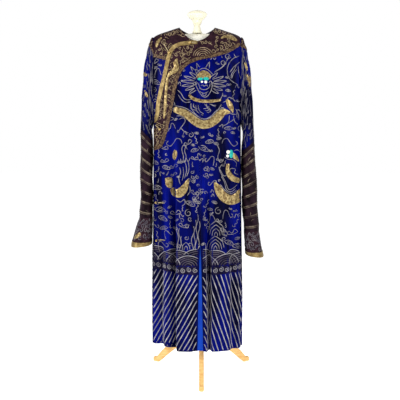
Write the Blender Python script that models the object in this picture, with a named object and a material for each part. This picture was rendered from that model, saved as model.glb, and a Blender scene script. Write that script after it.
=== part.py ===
# Chinese dragon robe on a limbless dress form with a tripod.
# The robe is the side closing court cut: two lengths that run over the shoulders
# without a shoulder seam, an overlap front that closes to the wearer's right,
# set-on lower sleeves and flared horse hoof cuffs.
# Metres, +Z up, the robe's front faces -Y, the wearer's left is at +X.
# The origin is on the floor under the middle of the whole.

import math

import bpy
from mathutils import Vector
from mathutils.bvhtree import BVHTree

for old in list(bpy.data.objects):
    bpy.data.objects.remove(old, do_unlink=True)

# Driving sizes
ROBE_Y = 0.053          # the robe's own axis lies this far behind the origin
WALL = 0.0014           # thickness of the cloth
SEAM = 0.0003           # gap between pieces that meet
LAYER = 0.0018          # one cloth layer above the next, middle to middle
HEM_Z = 0.120
UNDERARM_Z = 1.100
SLIT_TOP_Z = 0.600
NECK_FRONT_Z = 1.440    # lowest point of the front neckline
NECK_BACK_Z = 1.474
NECK_HALF = 0.074       # half width of the neck opening on the shoulder line
SECTION_POWER = 2.3     # roundness of the body's sections
SHOULDER_POWER = 2.6    # roundness of the turn over the shoulder
FACING_REACH = 0.176    # the facing on the shoulders ends at the armholes
OVERLAP_SHORT = 0.020   # the overlap's free edge lies this far in front of the side seam
BORDER_WIDTH = 0.014
BINDING_WIDTH = 0.012
HEM_RISE_UNDER = 0.016  # the hem of the right front is higher towards its side
HEM_RISE_OVERLAP = 0.026

# Body sections: height, half width, depth to the front, depth to the back
BODY = (
    (0.10, 0.199, 0.104, 0.142),
    (0.30, 0.199, 0.110, 0.141),
    (0.60, 0.193, 0.117, 0.137),
    (0.90, 0.188, 0.123, 0.131),
    (1.10, 0.186, 0.124, 0.127),
    (1.14, 0.199, 0.124, 0.126),
    (1.20, 0.209, 0.122, 0.124),
    (1.30, 0.213, 0.118, 0.120),
    (1.40, 0.217, 0.114, 0.116),
    (1.50, 0.226, 0.112, 0.114),
)

# Shoulder line: distance from the centre, height
SHOULDER = ((0.0, 1.512), (0.074, 1.4985), (0.118, 1.485), (0.165, 1.469), (0.186, 1.457), (0.23, 1.43))

# Centre line of the front, which drifts towards the wearer's left: height, x
CENTRE = ((0.10, 0.013), (0.60, 0.013), (1.10, 0.012), (1.30, 0.010), (1.40, 0.004), (1.45, 0.0))

# Folds that run up from the hem. Place and width are shares of the quarter,
# 0 at the centre seam and 1 at the side seam.
# quarter, place at hem, place at top, width, depth, lean, full below, gone above
FOLDS = (
    ("front_right", 0.359, 0.370, 0.085, 0.052, -0.016, 0.45, 1.26),
    ("front_right", 0.640, 0.620, 0.190, 0.030, 0.000, 0.40, 1.15),
    ("front_right", 0.900, 0.900, 0.080, 0.016, 0.000, 0.55, 1.20),
    ("front_right", 0.000, 0.000, 0.110, 0.013, 0.000, 0.14, 0.50),
    ("front_left", 0.100, 0.096, 0.056, 0.030, 0.004, 0.45, 1.08),
    ("front_left", 0.560, 0.500, 0.150, 0.016, 0.000, 0.40, 1.02),
    ("front_left", 0.880, 0.900, 0.090, 0.020, 0.000, 0.55, 1.24),
    ("front_left", 0.000, 0.000, 0.060, 0.008, 0.000, 0.14, 0.48),
    ("back_left", 0.200, 0.170, 0.110, 0.030, 0.000, 0.35, 1.10),
    ("back_left", 0.500, 0.470, 0.100, 0.036, 0.008, 0.35, 1.22),
    ("back_left", 0.800, 0.800, 0.110, 0.022, 0.000, 0.40, 1.05),
    ("back_right", 0.230, 0.200, 0.100, 0.034, -0.008, 0.35, 1.18),
    ("back_right", 0.560, 0.500, 0.120, 0.028, 0.000, 0.35, 1.05),
    ("back_right", 0.840, 0.820, 0.090, 0.024, 0.000, 0.40, 1.18),
)

# Overlap edge on the front, neck to side: x, height
OVERLAP_EDGE = (
    (0.060, 1.446), (0.020, 1.443), (-0.033, 1.439), (-0.087, 1.428), (-0.118, 1.395),
    (-0.141, 1.301), (-0.166, 1.199), (-0.178, 1.125), (-0.230, 1.085),
)

# Lower edge of the collar facing, from the left shoulder round to the right side
FACING_EDGE = (
    (0.260, 1.440), (0.193, 1.428), (0.136, 1.395), (0.074, 1.374), (0.012, 1.361),
    (-0.037, 1.341), (-0.070, 1.300), (-0.087, 1.239), (-0.103, 1.158),
    (-0.134, 1.033), (-0.166, 0.992), (-0.240, 0.985),
)

# Lower edge of the facing on the wearer's right shoulder
SHOULDER_EDGE = ((-0.010, 1.345), (-0.080, 1.352), (-0.132, 1.362), (-0.195, 1.380), (-0.260, 1.395))

# Rows over the shoulder: 0 at the underarm level, 1 on the shoulder line
SHOULDER_ROWS = (0.0, 0.07, 0.17, 0.30, 0.44, 0.58, 0.71, 0.82, 0.90, 0.955, 0.985, 1.0)
SKIRT_ROWS = (0.0, 0.09, 0.20, 0.32, 0.44, 0.57, 0.70, 0.83, 0.93)


def mix(a, b, t):
    return a + (b - a) * t


def ease(t):
    t = min(max(t, 0.0), 1.0)
    return t * t * (3.0 - 2.0 * t)


def read_table(table, at, column):
    """Smooth value of one column at a place along the first column."""
    last = len(table) - 1
    if at <= table[0][0]:
        return table[0][column]
    if at >= table[last][0]:
        return table[last][column]
    k = 0
    while table[k + 1][0] < at:
        k += 1

    def slope(i):
        if i == 0 or i == last:
            return 0.0
        before = (table[i][column] - table[i - 1][column]) / (table[i][0] - table[i - 1][0])
        after = (table[i + 1][column] - table[i][column]) / (table[i + 1][0] - table[i][0])
        if before * after <= 0.0:
            return 0.0
        return 2.0 * before * after / (before + after)

    span = table[k + 1][0] - table[k][0]
    t = (at - table[k][0]) / span
    h0 = (1.0 + 2.0 * t) * (1.0 - t) ** 2
    h1 = t * (1.0 - t) ** 2
    h2 = t * t * (3.0 - 2.0 * t)
    h3 = t * t * (t - 1.0)
    return h0 * table[k][column] + h1 * span * slope(k) + h2 * table[k + 1][column] + h3 * span * slope(k + 1)


def side_of(quarter):
    return 1.0 if quarter.endswith("left") else -1.0


def is_front(quarter):
    return quarter.startswith("front")


def centre_shift(quarter, z):
    return read_table(CENTRE, z, 1) if is_front(quarter) else 0.0


def depth_of(quarter, z):
    return read_table(BODY, z, 2 if is_front(quarter) else 3)


def slit_gap(z):
    """Half width of the open slit at centre front and centre back."""
    open_share = min(max((SLIT_TOP_Z - z) / (SLIT_TOP_Z - HEM_Z), 0.0), 1.0)
    return 0.00015 + 0.0122 * open_share ** 0.7


def with_folds(quarter, c, x, d, z, half, depth):
    """Move a point of the section by the folds; d is the distance to the front or back."""
    p = SECTION_POWER
    nx = max(x / half, 0.0) ** (p - 1.0) / half
    nd = max(d / depth, 0.0) ** (p - 1.0) / depth
    size = math.hypot(nx, nd)
    if size < 1e-9:
        return x, d
    nx /= size
    nd /= size
    move = 0.0
    slide = 0.0
    for name, at_hem, at_top, width, deep, lean, full, gone in FOLDS:
        if name != quarter or z >= gone:
            continue
        place = mix(at_hem, at_top, ease((z - HEM_Z) / (gone - HEM_Z)))
        t = (c - place) / width
        if abs(t) >= 1.0:
            continue
        share = ease((gone - z) / (gone - full)) * 0.5 * (1.0 + math.cos(math.pi * t))
        move -= deep * share
        slide += lean * share
    return x + nx * move + nd * slide, d + nd * move - nx * slide


def body_point(quarter, c, z):
    """Point of the body below the underarm; c is 0 at the centre, 1 at the side."""
    half = read_table(BODY, z, 1)
    depth = depth_of(quarter, z)
    angle = c * math.pi / 2.0
    power = 2.0 / SECTION_POWER
    across = math.sin(angle) ** power
    x = half * across
    d = max(depth * max(math.cos(angle), 0.0) ** power, 0.0)
    x, d = with_folds(quarter, c, x, d, z, half, depth)
    side = side_of(quarter)
    gap = slit_gap(z)
    x = side * max(x, 0.0) + centre_shift(quarter, z) * (1.0 - across) + side * gap * (1.0 - ease(c / 0.12))
    d = max(d, 0.0002)
    return Vector((x, ROBE_Y + (-d if is_front(quarter) else d), z))


def neck_height(quarter, x):
    """Height of the neckline at a distance from the centre."""
    t = min(x / NECK_HALF, 1.0)
    low = NECK_FRONT_Z if is_front(quarter) else NECK_BACK_Z
    top = read_table(SHOULDER, NECK_HALF, 1)
    if is_front(quarter):
        return low + (top - low) * (0.10 * t + 0.90 * t ** 2.2)
    return low + (top - low) * t ** 2.0


def neck_edge(quarter, g):
    """Distance of the neckline from the centre in a row over the shoulder."""
    def row_of(x):
        return (neck_height(quarter, x) - UNDERARM_Z) / (read_table(SHOULDER, x, 1) - UNDERARM_Z)

    if g <= row_of(0.0):
        return 0.0
    low = 0.0
    high = NECK_HALF
    for _ in range(40):
        middle = 0.5 * (low + high)
        if row_of(middle) < g:
            low = middle
        else:
            high = middle
    return 0.5 * (low + high)


def armhole_x(g):
    half = read_table(BODY, UNDERARM_Z, 1)
    return half - 0.006 * math.sin(math.pi * g) - 0.001 * g


def shoulder_point(quarter, c, g):
    """Point of the body between the underarm level and the shoulder line."""
    angle = c * math.pi / 2.0
    across = math.sin(angle) ** (2.0 / SECTION_POWER)
    inner = neck_edge(quarter, g)
    x = inner + (armhole_x(g) - inner) * across
    z = UNDERARM_Z + (read_table(SHOULDER, x, 1) - UNDERARM_Z) * g
    half = read_table(BODY, z, 1)
    depth = depth_of(quarter, z)
    round_off = max(1.0 - g ** SHOULDER_POWER, 0.0) ** (1.0 / SHOULDER_POWER)
    d = depth * max(1.0 - (x / half) ** SECTION_POWER, 0.0) ** (1.0 / SECTION_POWER) * round_off
    if g < 0.9:
        x, d = with_folds(quarter, c, x, max(d, 0.0), z, half, depth)
    side = side_of(quarter)
    shift = centre_shift(quarter, z) * (1.0 - across)
    x = side * (x + 0.00015 * (1.0 - ease(c / 0.12))) + shift
    if g < 1.0:
        d = max(d, 0.0002)
    return Vector((x, ROBE_Y + (-d if is_front(quarter) else d), z))


def columns_for(quarter, coarse=8):
    """Places across a quarter: even steps, with more at the folds."""
    places = [k / coarse for k in range(coarse + 1)]
    for name, at_hem, at_top, width, deep, lean, full, gone in FOLDS:
        if name == quarter:
            for share in (-0.95, -0.5, 0.0, 0.5, 0.95):
                place = at_hem + share * width
                if 0.0 < place < 1.0:
                    places.append(place)
    places.sort()
    kept = [0.0]
    for place in places:
        if place - kept[-1] > 0.042 and place < 0.970:
            kept.append(place)
    kept.append(1.0)
    return kept


def hem_height(quarter, c):
    """The right front hangs a little higher beyond its deep fold."""
    return HEM_Z + (HEM_RISE_UNDER * ease((c - 0.34) / 0.12) if quarter == "front_right" else 0.0)


def quarter_rows(quarter, columns):
    """Rows of points from the hem to the shoulder line."""
    rows = []
    for share in SKIRT_ROWS:
        rows.append([body_point(quarter, c, mix(hem_height(quarter, c), UNDERARM_Z, share)) for c in columns])
    for g in SHOULDER_ROWS:
        rows.append([shoulder_point(quarter, c, g) for c in columns])
    return rows


# A sheet is a triangle mesh with a normal at each point, before it gets a thickness.

def make_sheet(rows, closed=False, flip=False):
    """Sheet through a grid of points; closed joins the last column to the first."""
    count = len(rows[0])
    points = [p.copy() for row in rows for p in row]
    triangles = []
    last = count if closed else count - 1
    for j in range(len(rows) - 1):
        for i in range(last):
            a = j * count + i
            b = j * count + (i + 1) % count
            c = (j + 1) * count + (i + 1) % count
            d = (j + 1) * count + i
            if (points[a] - points[c]).length <= (points[b] - points[d]).length:
                pair = ((a, b, c), (a, c, d))
            else:
                pair = ((a, b, d), (b, c, d))
            for corners in pair:
                triangles.append(corners[::-1] if flip else corners)
    sheet = {"points": points, "normals": [], "triangles": triangles}
    sheet["normals"] = point_normals(sheet)
    return sheet


def point_normals(sheet):
    normals = [Vector((0.0, 0.0, 0.0)) for _ in sheet["points"]]
    for a, b, c in sheet["triangles"]:
        pa = sheet["points"][a]
        pb = sheet["points"][b]
        pc = sheet["points"][c]
        cross = (pb - pa).cross(pc - pa)
        for k in (a, b, c):
            normals[k] += cross
    for normal in normals:
        normal.normalize()
    return normals


def moved(sheet, offset):
    """The sheet moved along its normals by a number, or by a list of one per point."""
    count = len(sheet["points"])
    steps = offset if isinstance(offset, list) else [offset] * count
    points = [sheet["points"][k] + sheet["normals"][k] * steps[k] for k in range(count)]
    return {"points": points, "normals": list(sheet["normals"]), "triangles": list(sheet["triangles"])}


def split(sheet):
    """Each triangle in four, on the same flat facets."""
    points = list(sheet["points"])
    normals = list(sheet["normals"])
    middles = {}
    triangles = []

    def middle(a, b):
        key = (min(a, b), max(a, b))
        if key not in middles:
            points.append((points[a] + points[b]) / 2.0)
            normals.append((normals[a] + normals[b]) / 2.0)
            middles[key] = len(points) - 1
        return middles[key]

    for a, b, c in sheet["triangles"]:
        ab = middle(a, b)
        bc = middle(b, c)
        ca = middle(c, a)
        triangles += [(a, ab, ca), (ab, b, bc), (ca, bc, c), (ab, bc, ca)]
    return {"points": points, "normals": normals, "triangles": triangles}


def cut(sheet, field):
    """The part of the sheet where the field is above zero, cut along its facets."""
    points = list(sheet["points"])
    normals = list(sheet["normals"])
    values = [field(p) for p in points]
    values = [v if abs(v) > 1e-5 else 1e-5 for v in values]
    edges = {}
    triangles = []

    def crossing(a, b):
        key = (min(a, b), max(a, b))
        if key not in edges:
            lo, hi = key
            t = values[lo] / (values[lo] - values[hi])
            t = min(max(t, 0.08), 0.92)
            points.append(points[lo].lerp(points[hi], t))
            normals.append(normals[lo].lerp(normals[hi], t))
            edges[key] = len(points) - 1
        return edges[key]

    for corners in sheet["triangles"]:
        inside = [values[k] > 0.0 for k in corners]
        if all(inside):
            triangles.append(corners)
            continue
        if not any(inside):
            continue
        if sum(inside) == 1:
            k = inside.index(True)
            a = corners[k]
            b = corners[(k + 1) % 3]
            c = corners[(k + 2) % 3]
            triangles.append((a, crossing(a, b), crossing(a, c)))
        else:
            k = inside.index(False)
            a = corners[k]
            b = corners[(k + 1) % 3]
            c = corners[(k + 2) % 3]
            ab = crossing(a, b)
            ca = crossing(a, c)
            triangles += [(ab, b, c), (ab, c, ca)]
    used = sorted({k for t in triangles for k in t})
    place = {k: n for n, k in enumerate(used)}
    return {
        "points": [points[k] for k in used],
        "normals": [normals[k] for k in used],
        "triangles": [tuple(place[k] for k in t) for t in triangles],
    }


def largest_part(sheet):
    """The largest connected part of a sheet."""
    owner = list(range(len(sheet["points"])))

    def root(k):
        while owner[k] != k:
            owner[k] = owner[owner[k]]
            k = owner[k]
        return k

    for a, b, c in sheet["triangles"]:
        owner[root(a)] = root(b)
        owner[root(b)] = root(c)
    sizes = {}
    for t in sheet["triangles"]:
        sizes[root(t[0])] = sizes.get(root(t[0]), 0) + 1
    best = max(sizes, key=sizes.get)
    triangles = [t for t in sheet["triangles"] if root(t[0]) == best]
    used = sorted({k for t in triangles for k in t})
    place = {k: n for n, k in enumerate(used)}
    return {
        "points": [sheet["points"][k] for k in used],
        "normals": [sheet["normals"][k] for k in used],
        "triangles": [tuple(place[k] for k in t) for t in triangles],
    }


def thicken(sheet, low, high):
    """Closed solid between two distances along the sheet's normals."""
    count = len(sheet["points"])
    top = [sheet["points"][k] + sheet["normals"][k] * high for k in range(count)]
    under = [sheet["points"][k] + sheet["normals"][k] * low for k in range(count)]
    faces = [tuple(t) for t in sheet["triangles"]]
    faces += [(a + count, c + count, b + count) for a, b, c in sheet["triangles"]]
    seen = set()
    for a, b, c in sheet["triangles"]:
        seen.update(((a, b), (b, c), (c, a)))
    for a, b in sorted(seen):
        if (b, a) not in seen:
            faces.append((b, a, a + count))
            faces.append((b, a + count, b + count))
    return top + under, faces


def make_material(name, colour, roughness, metallic=0.0):
    material = bpy.data.materials.new(name)
    material.use_nodes = True
    shader = material.node_tree.nodes["Principled BSDF"]
    shader.inputs["Base Color"].default_value = (*colour, 1.0)
    shader.inputs["Roughness"].default_value = roughness
    shader.inputs["Metallic"].default_value = metallic
    return material


BLUE_SATIN = (0.012, 0.022, 0.20)
GOLD_CLOTH = (0.55, 0.38, 0.15)
DARK_FACING = (0.045, 0.022, 0.035)
RIBBED_SILK = (0.085, 0.045, 0.075)
LINING_BLUE = (0.02, 0.07, 0.38)
BROCADE = (0.30, 0.19, 0.08)
LINEN = (0.72, 0.68, 0.60)
PINE = (0.80, 0.58, 0.32)


def add_object(name, points, faces, colour, roughness=0.6, metallic=0.0, smooth=True):
    mesh = bpy.data.meshes.new(name)
    mesh.from_pydata([tuple(p) for p in points], [], faces)
    mesh.validate()
    mesh.update()
    if smooth:
        mesh.shade_smooth()
        mesh.set_sharp_from_angle(angle=math.radians(40))
    thing = bpy.data.objects.new(name, mesh)
    mesh.materials.append(make_material(name, colour, roughness, metallic))
    bpy.context.scene.collection.objects.link(thing)
    return thing


def add_cloth(name, sheet, colour, low=-WALL / 2.0, high=WALL / 2.0, roughness=0.5):
    points, faces = thicken(sheet, low, high)
    return add_object(name, points, faces, colour, roughness)


# Signed distance to a path on the front, in x and height

def path_distance(path, x, z):
    """Distance to the path, above zero on the left of its direction."""
    best = None
    for k in range(len(path) - 1):
        ax, az = path[k]
        bx, bz = path[k + 1]
        dx = bx - ax
        dz = bz - az
        t = ((x - ax) * dx + (z - az) * dz) / (dx * dx + dz * dz)
        t = min(max(t, 0.0), 1.0)
        px = x - ax - dx * t
        pz = z - az - dz * t
        far = math.hypot(px, pz)
        if best is None or far < best[0] - 1e-9:
            best = (far, 1.0 if dx * pz - dz * px >= 0.0 else -1.0)
    return best[0] * best[1]


def inside_overlap(p):
    return path_distance(OVERLAP_EDGE, p.x, p.z)


def short_of_armhole(p):
    return FACING_REACH - abs(p.x)


def above_facing_edge(p):
    return -path_distance(FACING_EDGE, p.x, p.z)


def above_shoulder_edge(p):
    return -path_distance(SHOULDER_EDGE, p.x, p.z)


# The four quarters of the body as sheets

def straighten_seams(sheet, rows, columns_count):
    """Normals along the centre and the side seams lie in the seam's own plane."""
    for j in range(rows):
        a = j * columns_count
        n = sheet["normals"][a]
        if j < rows - 6:
            n.x = 0.0
            n.normalize()
    for j in range(len(SKIRT_ROWS) + 1):
        b = j * columns_count + columns_count - 1
        n = sheet["normals"][b]
        n.y = 0.0
        n.normalize()


def length_sheet(side):
    """Front and back of one side in one sheet, hem to hem over the shoulder."""
    front = "front_" + side
    back = "back_" + side
    columns = columns_for(front)
    count = len(columns)
    back_columns = columns_for(back)
    # the back uses the front's number of columns, spread over its own folds
    spread = []
    for k in range(count):
        at = k / (count - 1) * (len(back_columns) - 1)
        lower = min(int(at), len(back_columns) - 2)
        spread.append(mix(back_columns[lower], back_columns[lower + 1], at - lower))
    front_rows = quarter_rows(front, columns)
    # over the shoulder the back's columns move to the front's, so that they meet
    back_rows = []
    for share in SKIRT_ROWS:
        back_rows.append([body_point(back, c, mix(HEM_Z, UNDERARM_Z, share)) for c in spread])
    for g in SHOULDER_ROWS[:-1]:
        t = ease(g)
        back_rows.append([shoulder_point(back, mix(b, f, t), g) for b, f in zip(spread, columns)])
    rows = front_rows + back_rows[::-1]
    sheet = make_sheet(rows, flip=(side == "right"))
    half = len(front_rows)
    for j in range(len(rows)):
        n = sheet["normals"][j * count]
        row = j if j < half else len(rows) - 1 - j
        if row < half - 6:
            n.x = 0.0
            n.normalize()
        if row <= len(SKIRT_ROWS):
            n = sheet["normals"][j * count + count - 1]
            n.y = 0.0
            n.normalize()
    return sheet, rows, columns


def under_drop(c, row_share):
    """How far the right front lies below the level of the left front at the centre."""
    return LAYER * (1.0 - ease(c / 0.30)) * (1.0 - ease((row_share - 0.80) / 0.15))


left_sheet, left_rows, left_columns = length_sheet("left")
right_sheet, right_rows, right_columns = length_sheet("right")
front_count = len(SKIRT_ROWS) + len(SHOULDER_ROWS)

drops = []
for j in range(len(right_rows)):
    for c in right_columns:
        if j < len(SKIRT_ROWS):
            drops.append(-under_drop(c, 0.0))
        elif j < front_count:
            drops.append(-under_drop(c, SHOULDER_ROWS[j - len(SKIRT_ROWS)]))
        else:
            drops.append(0.0)
right_under = moved(right_sheet, drops)

columns_right = len(right_columns)
front_points = front_count * columns_right
overlap_all = {
    "points": [right_under["points"][k] + right_under["normals"][k] * LAYER for k in range(front_points)],
    "normals": [right_under["normals"][k] for k in range(front_points)],
    "triangles": [t for t in right_under["triangles"] if max(t) < front_points],
}
overlap_sheet = cut(overlap_all, lambda p: ROBE_Y - OVERLAP_SHORT - p.y)
overlap_sheet = cut(overlap_sheet, lambda p: max(FACING_REACH + 0.002 + p.x, UNDERARM_Z - 0.02 - p.z))
overlap_sheet = largest_part(cut(overlap_sheet, lambda p: inside_overlap(p) - 0.002))
overlap_sheet = cut(overlap_sheet, lambda p: p.z - HEM_Z - HEM_RISE_OVERLAP * ease((-0.084 - p.x) / 0.016))

add_cloth("left_length", left_sheet, BLUE_SATIN)
add_cloth("right_length", right_under, BLUE_SATIN)
add_cloth("overlap_front", overlap_sheet, BLUE_SATIN)

# Collar facing, its brocade border and the gold binding, each cut from the panel under it
FACING_LOW = WALL / 2.0 + SEAM
FACING_HIGH = FACING_LOW + 0.0008
TRIM_LOW = FACING_HIGH + SEAM
TRIM_HIGH = TRIM_LOW + 0.0010


def band(sheet, field, low, high):
    """Strip of a sheet where the field lies between two values."""
    values = [field(p) for p in sheet["points"]]
    near = dict(sheet)
    near["triangles"] = [
        t for t in sheet["triangles"]
        if min(values[k] for k in t) < high + 0.001 and max(values[k] for k in t) > low - 0.001
    ]
    fine = split(near)
    return largest_part(cut(cut(fine, lambda p: field(p) - low), lambda p: high - field(p)))


facing_left = largest_part(cut(cut(left_sheet, above_facing_edge), short_of_armhole))
facing_overlap = cut(overlap_sheet, lambda p: ROBE_Y - OVERLAP_SHORT - 0.006 - p.y)
facing_overlap = cut(facing_overlap, lambda p: max(FACING_REACH + p.x, UNDERARM_Z - 0.02 - p.z))
facing_overlap = largest_part(cut(facing_overlap, above_facing_edge))
shoulder_right = cut(cut(right_under, above_shoulder_edge), short_of_armhole)
facing_right = largest_part(cut(shoulder_right, lambda p: max(-inside_overlap(p), p.y - ROBE_Y) - 0.004))
add_cloth("facing_left", facing_left, DARK_FACING, FACING_LOW, FACING_HIGH, 0.7)
add_cloth("facing_overlap", facing_overlap, DARK_FACING, FACING_LOW, FACING_HIGH, 0.7)
add_cloth("facing_right", facing_right, DARK_FACING, FACING_LOW, FACING_HIGH, 0.7)


def front_half(sheet):
    return cut(sheet, lambda p: ROBE_Y - p.y)


def back_half(sheet):
    return cut(sheet, lambda p: p.y - ROBE_Y)


BORDERS = (
    ("border_front_left", front_half(facing_left), above_facing_edge),
    ("border_back_left", back_half(facing_left), above_facing_edge),
    ("border_overlap", facing_overlap, above_facing_edge),
    ("border_front_right", front_half(facing_right), above_shoulder_edge),
    ("border_back_right", back_half(facing_right), above_shoulder_edge),
)
for name, facing, field in BORDERS:
    add_cloth(name, band(facing, field, 0.0, BORDER_WIDTH), BROCADE, TRIM_LOW, TRIM_HIGH, 0.6)

binding_sheet = cut(overlap_all, lambda p: ROBE_Y - OVERLAP_SHORT - 0.001 - p.y)
binding_sheet = cut(binding_sheet, lambda p: max(FACING_REACH + 0.001 + p.x, UNDERARM_Z - 0.02 - p.z))
binding_sheet = band(binding_sheet, inside_overlap, 0.0, BINDING_WIDTH)
add_cloth("overlap_binding", binding_sheet, GOLD_CLOTH, TRIM_LOW, TRIM_HIGH + 0.0004, 0.45)

# Sleeves: the rows between the armhole and the end of the upper sleeve turn downwards

# side: x of the lower end inside and outside, its half depth, height inside and outside
SLEEVE_ENDS = {
    "right": {"inner": 0.1905, "outer": 0.2410, "deep": 0.066, "z_inner": 1.030, "z_outer": 1.080},
    "left": {"inner": 0.1905, "outer": 0.2440, "deep": 0.066, "z_inner": 0.985, "z_outer": 1.030},
}
# side: rings of the lower sleeve as share, inner x, outer x, half depth; height at its end
LOWER_SLEEVES = {
    "right": {"end": 0.700, "rings": (
        (0.0, 0.1905, 0.2410, 0.066), (0.25, 0.1915, 0.2420, 0.065), (0.5, 0.1925, 0.2430, 0.064),
        (0.75, 0.1935, 0.2440, 0.063), (1.0, 0.1945, 0.2500, 0.062))},
    "left": {"end": 0.640, "rings": (
        (0.0, 0.1905, 0.2440, 0.066), (0.25, 0.1915, 0.2505, 0.065), (0.5, 0.1932, 0.2555, 0.064),
        (0.75, 0.1970, 0.2615, 0.063), (1.0, 0.2045, 0.2685, 0.062))},
}
# side: rings of the hoof cuff as height below its top, inner x, outer x, half depth
CUFFS = {
    "right": {"top": 0.700, "rings": (
        (0.0, 0.1945, 0.2500, 0.062), (0.035, 0.1950, 0.2625, 0.066),
        (0.075, 0.1965, 0.2750, 0.071), (0.120, 0.1990, 0.2865, 0.076))},
    "left": {"top": 0.640, "rings": (
        (0.0, 0.2045, 0.2685, 0.062), (0.035, 0.2060, 0.2735, 0.066),
        (0.072, 0.2085, 0.2805, 0.071), (0.104, 0.2110, 0.2880, 0.076))},
}
RING_COUNT = 2 * (len(SHOULDER_ROWS) - 1)


def ring_angles():
    """Angle of each sleeve point: 0 on the shoulder, pi at the underarm, round by the front."""
    steps = len(SHOULDER_ROWS) - 1
    return [math.pi * (1.0 + k / steps) for k in range(2 * steps)]


def end_ring(side, inner, outer, deep, z_inner, z_outer):
    """Flat oval ring that starts at the inside and runs forward, outside and back."""
    sign = 1.0 if side == "left" else -1.0
    points = []
    for angle in ring_angles():
        across = math.cos(angle)          # -1 inside, +1 outside
        along = math.sin(angle)           # first half is the front
        wide = math.copysign(abs(across) ** 0.8, across)
        x = mix(inner, outer, 0.5 * (1.0 + wide))
        z = mix(z_inner, z_outer, 0.5 * (1.0 + wide))
        y = ROBE_Y + math.copysign(abs(along) ** 0.8, along) * deep
        points.append(Vector((sign * x, y, z)))
    return points


def armhole_ring(sheet, rows, count):
    """The armhole edge of a length, from the underarm up the front and down the back."""
    skirt = len(SKIRT_ROWS)
    ring = []
    total = len(rows)
    for j in range(skirt, total - skirt):
        k = j * count + count - 1
        ring.append((sheet["points"][k], sheet["normals"][k]))
    # the first and the last are the same place at the underarm, front and back of the seam
    first, normal = ring[0]
    last, _ = ring[-1]
    ring = ring[:-1]
    ring[0] = ((first + last) / 2.0, normal)
    return [p + n * (LAYER + 0.0003) for p, n in ring]


def upper_sleeve(side, sheet, rows, count):
    sign = 1.0 if side == "left" else -1.0
    ends = SLEEVE_ENDS[side]
    start = armhole_ring(sheet, rows, count)
    finish = end_ring(side, ends["inner"], ends["outer"], ends["deep"], ends["z_inner"], ends["z_outer"])
    rings = []
    for t in (0.0, 0.10, 0.24, 0.40, 0.58, 0.78, 1.0):
        ring = []
        for k, (a, b) in enumerate(zip(start, finish)):
            height = (a.z - UNDERARM_Z) / (1.46 - UNDERARM_Z)
            bulge = 0.020 + 0.014 * ease(height)
            middle = Vector((a.x + sign * bulge, mix(a.y, b.y, 0.35), a.z - 0.010 - 0.040 * (1.0 - height)))
            ring.append(a * (1.0 - t) ** 2 + middle * (2.0 * t * (1.0 - t)) + b * t * t)
        rings.append(ring)
    return rings


def sleeve_sheets(side, sheet, rows, count):
    flip = side == "right"
    rings = upper_sleeve(side, sheet, rows, count)
    upper = make_sheet(rings, closed=True, flip=not flip)
    table = LOWER_SLEEVES[side]
    ends = SLEEVE_ENDS[side]
    lower_rings = []
    for share, inner, outer, deep in table["rings"]:
        z_inner = mix(ends["z_inner"], table["end"], share) - SEAM * 1.5 * (1.0 - share)
        z_outer = mix(ends["z_outer"], table["end"], share) - SEAM * 1.5 * (1.0 - share)
        lower_rings.append(end_ring(side, inner, outer, deep, z_inner, z_outer))
    lower = make_sheet(lower_rings, closed=True, flip=not flip)
    cuff_table = CUFFS[side]
    cuff_rings = []
    for drop, inner, outer, deep in cuff_table["rings"]:
        z = cuff_table["top"] - drop - SEAM * 1.5
        tilt = 0.010 * drop / cuff_table["rings"][-1][0]
        cuff_rings.append(end_ring(side, inner, outer, deep, z, z - tilt))
    cuff = make_sheet(cuff_rings, closed=True, flip=not flip)
    n = len(ring_angles())
    # where two tubes meet they share the average of their normals
    for a, b in ((upper, lower), (lower, cuff)):
        start = len(a["points"]) - n
        for k in range(n):
            shared = (a["normals"][start + k] + b["normals"][k]).normalized()
            a["normals"][start + k] = shared
            b["normals"][k] = shared.copy()
    return upper, lower, cuff


for side, sheet, rows, columns in (
    ("left", left_sheet, left_rows, left_columns),
    ("right", right_under, right_rows, right_columns),
):
    upper, lower, cuff = sleeve_sheets(side, sheet, rows, len(columns))
    add_cloth("upper_sleeve_" + side, upper, BLUE_SATIN)
    add_cloth("lower_sleeve_" + side, lower, RIBBED_SILK)
    add_cloth("cuff_" + side, cuff, DARK_FACING)
    # gold edging round the cuff's mouth
    low_edge = min(p.z for p in cuff["points"])
    edge = cut(cuff, lambda p: low_edge + 0.024 - p.z)
    add_cloth("cuff_edge_" + side, edge, GOLD_CLOTH, WALL / 2.0 + SEAM, WALL / 2.0 + SEAM + 0.0010)

# Lining strip behind the open slit at centre front
LINING_HALF = 0.0170


def slit_edge(z):
    """Middle of the slit and the deeper of its two edges, on the panels' own facets."""
    levels = [mix(HEM_Z, UNDERARM_Z, share) for share in SKIRT_ROWS]
    k = max(n for n, level in enumerate(levels) if level <= z)
    t = (z - levels[k]) / (levels[k + 1] - levels[k])
    deep = []
    for quarter in ("front_right", "front_left"):
        deep.append(mix(body_point(quarter, 0.0, levels[k]).y, body_point(quarter, 0.0, levels[k + 1]).y, t))
    return mix(centre_shift("front_left", levels[k]), centre_shift("front_left", levels[k + 1]), t), max(deep)


lining_levels = [mix(HEM_Z, UNDERARM_Z, share) for share in SKIRT_ROWS if mix(HEM_Z, UNDERARM_Z, share) < SLIT_TOP_Z]
lining_rows = []
for z in lining_levels + [SLIT_TOP_Z - 0.010]:
    middle, behind = slit_edge(z)
    row = []
    for k in range(5):
        across = -1.0 + 0.5 * k
        row.append(Vector((middle + LINING_HALF * across, behind + LAYER + WALL + 0.0006, z)))
    lining_rows.append(row)
lining = make_sheet(lining_rows)
add_cloth("slit_lining", lining, LINING_BLUE)

# Dress form: slices from side to side, each a loop over the shoulders and under the hip
FORM_HALF = 0.150
FORM_BOTTOM = 0.800
FORM_CLEAR = WALL / 2.0 + 0.0006
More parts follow.
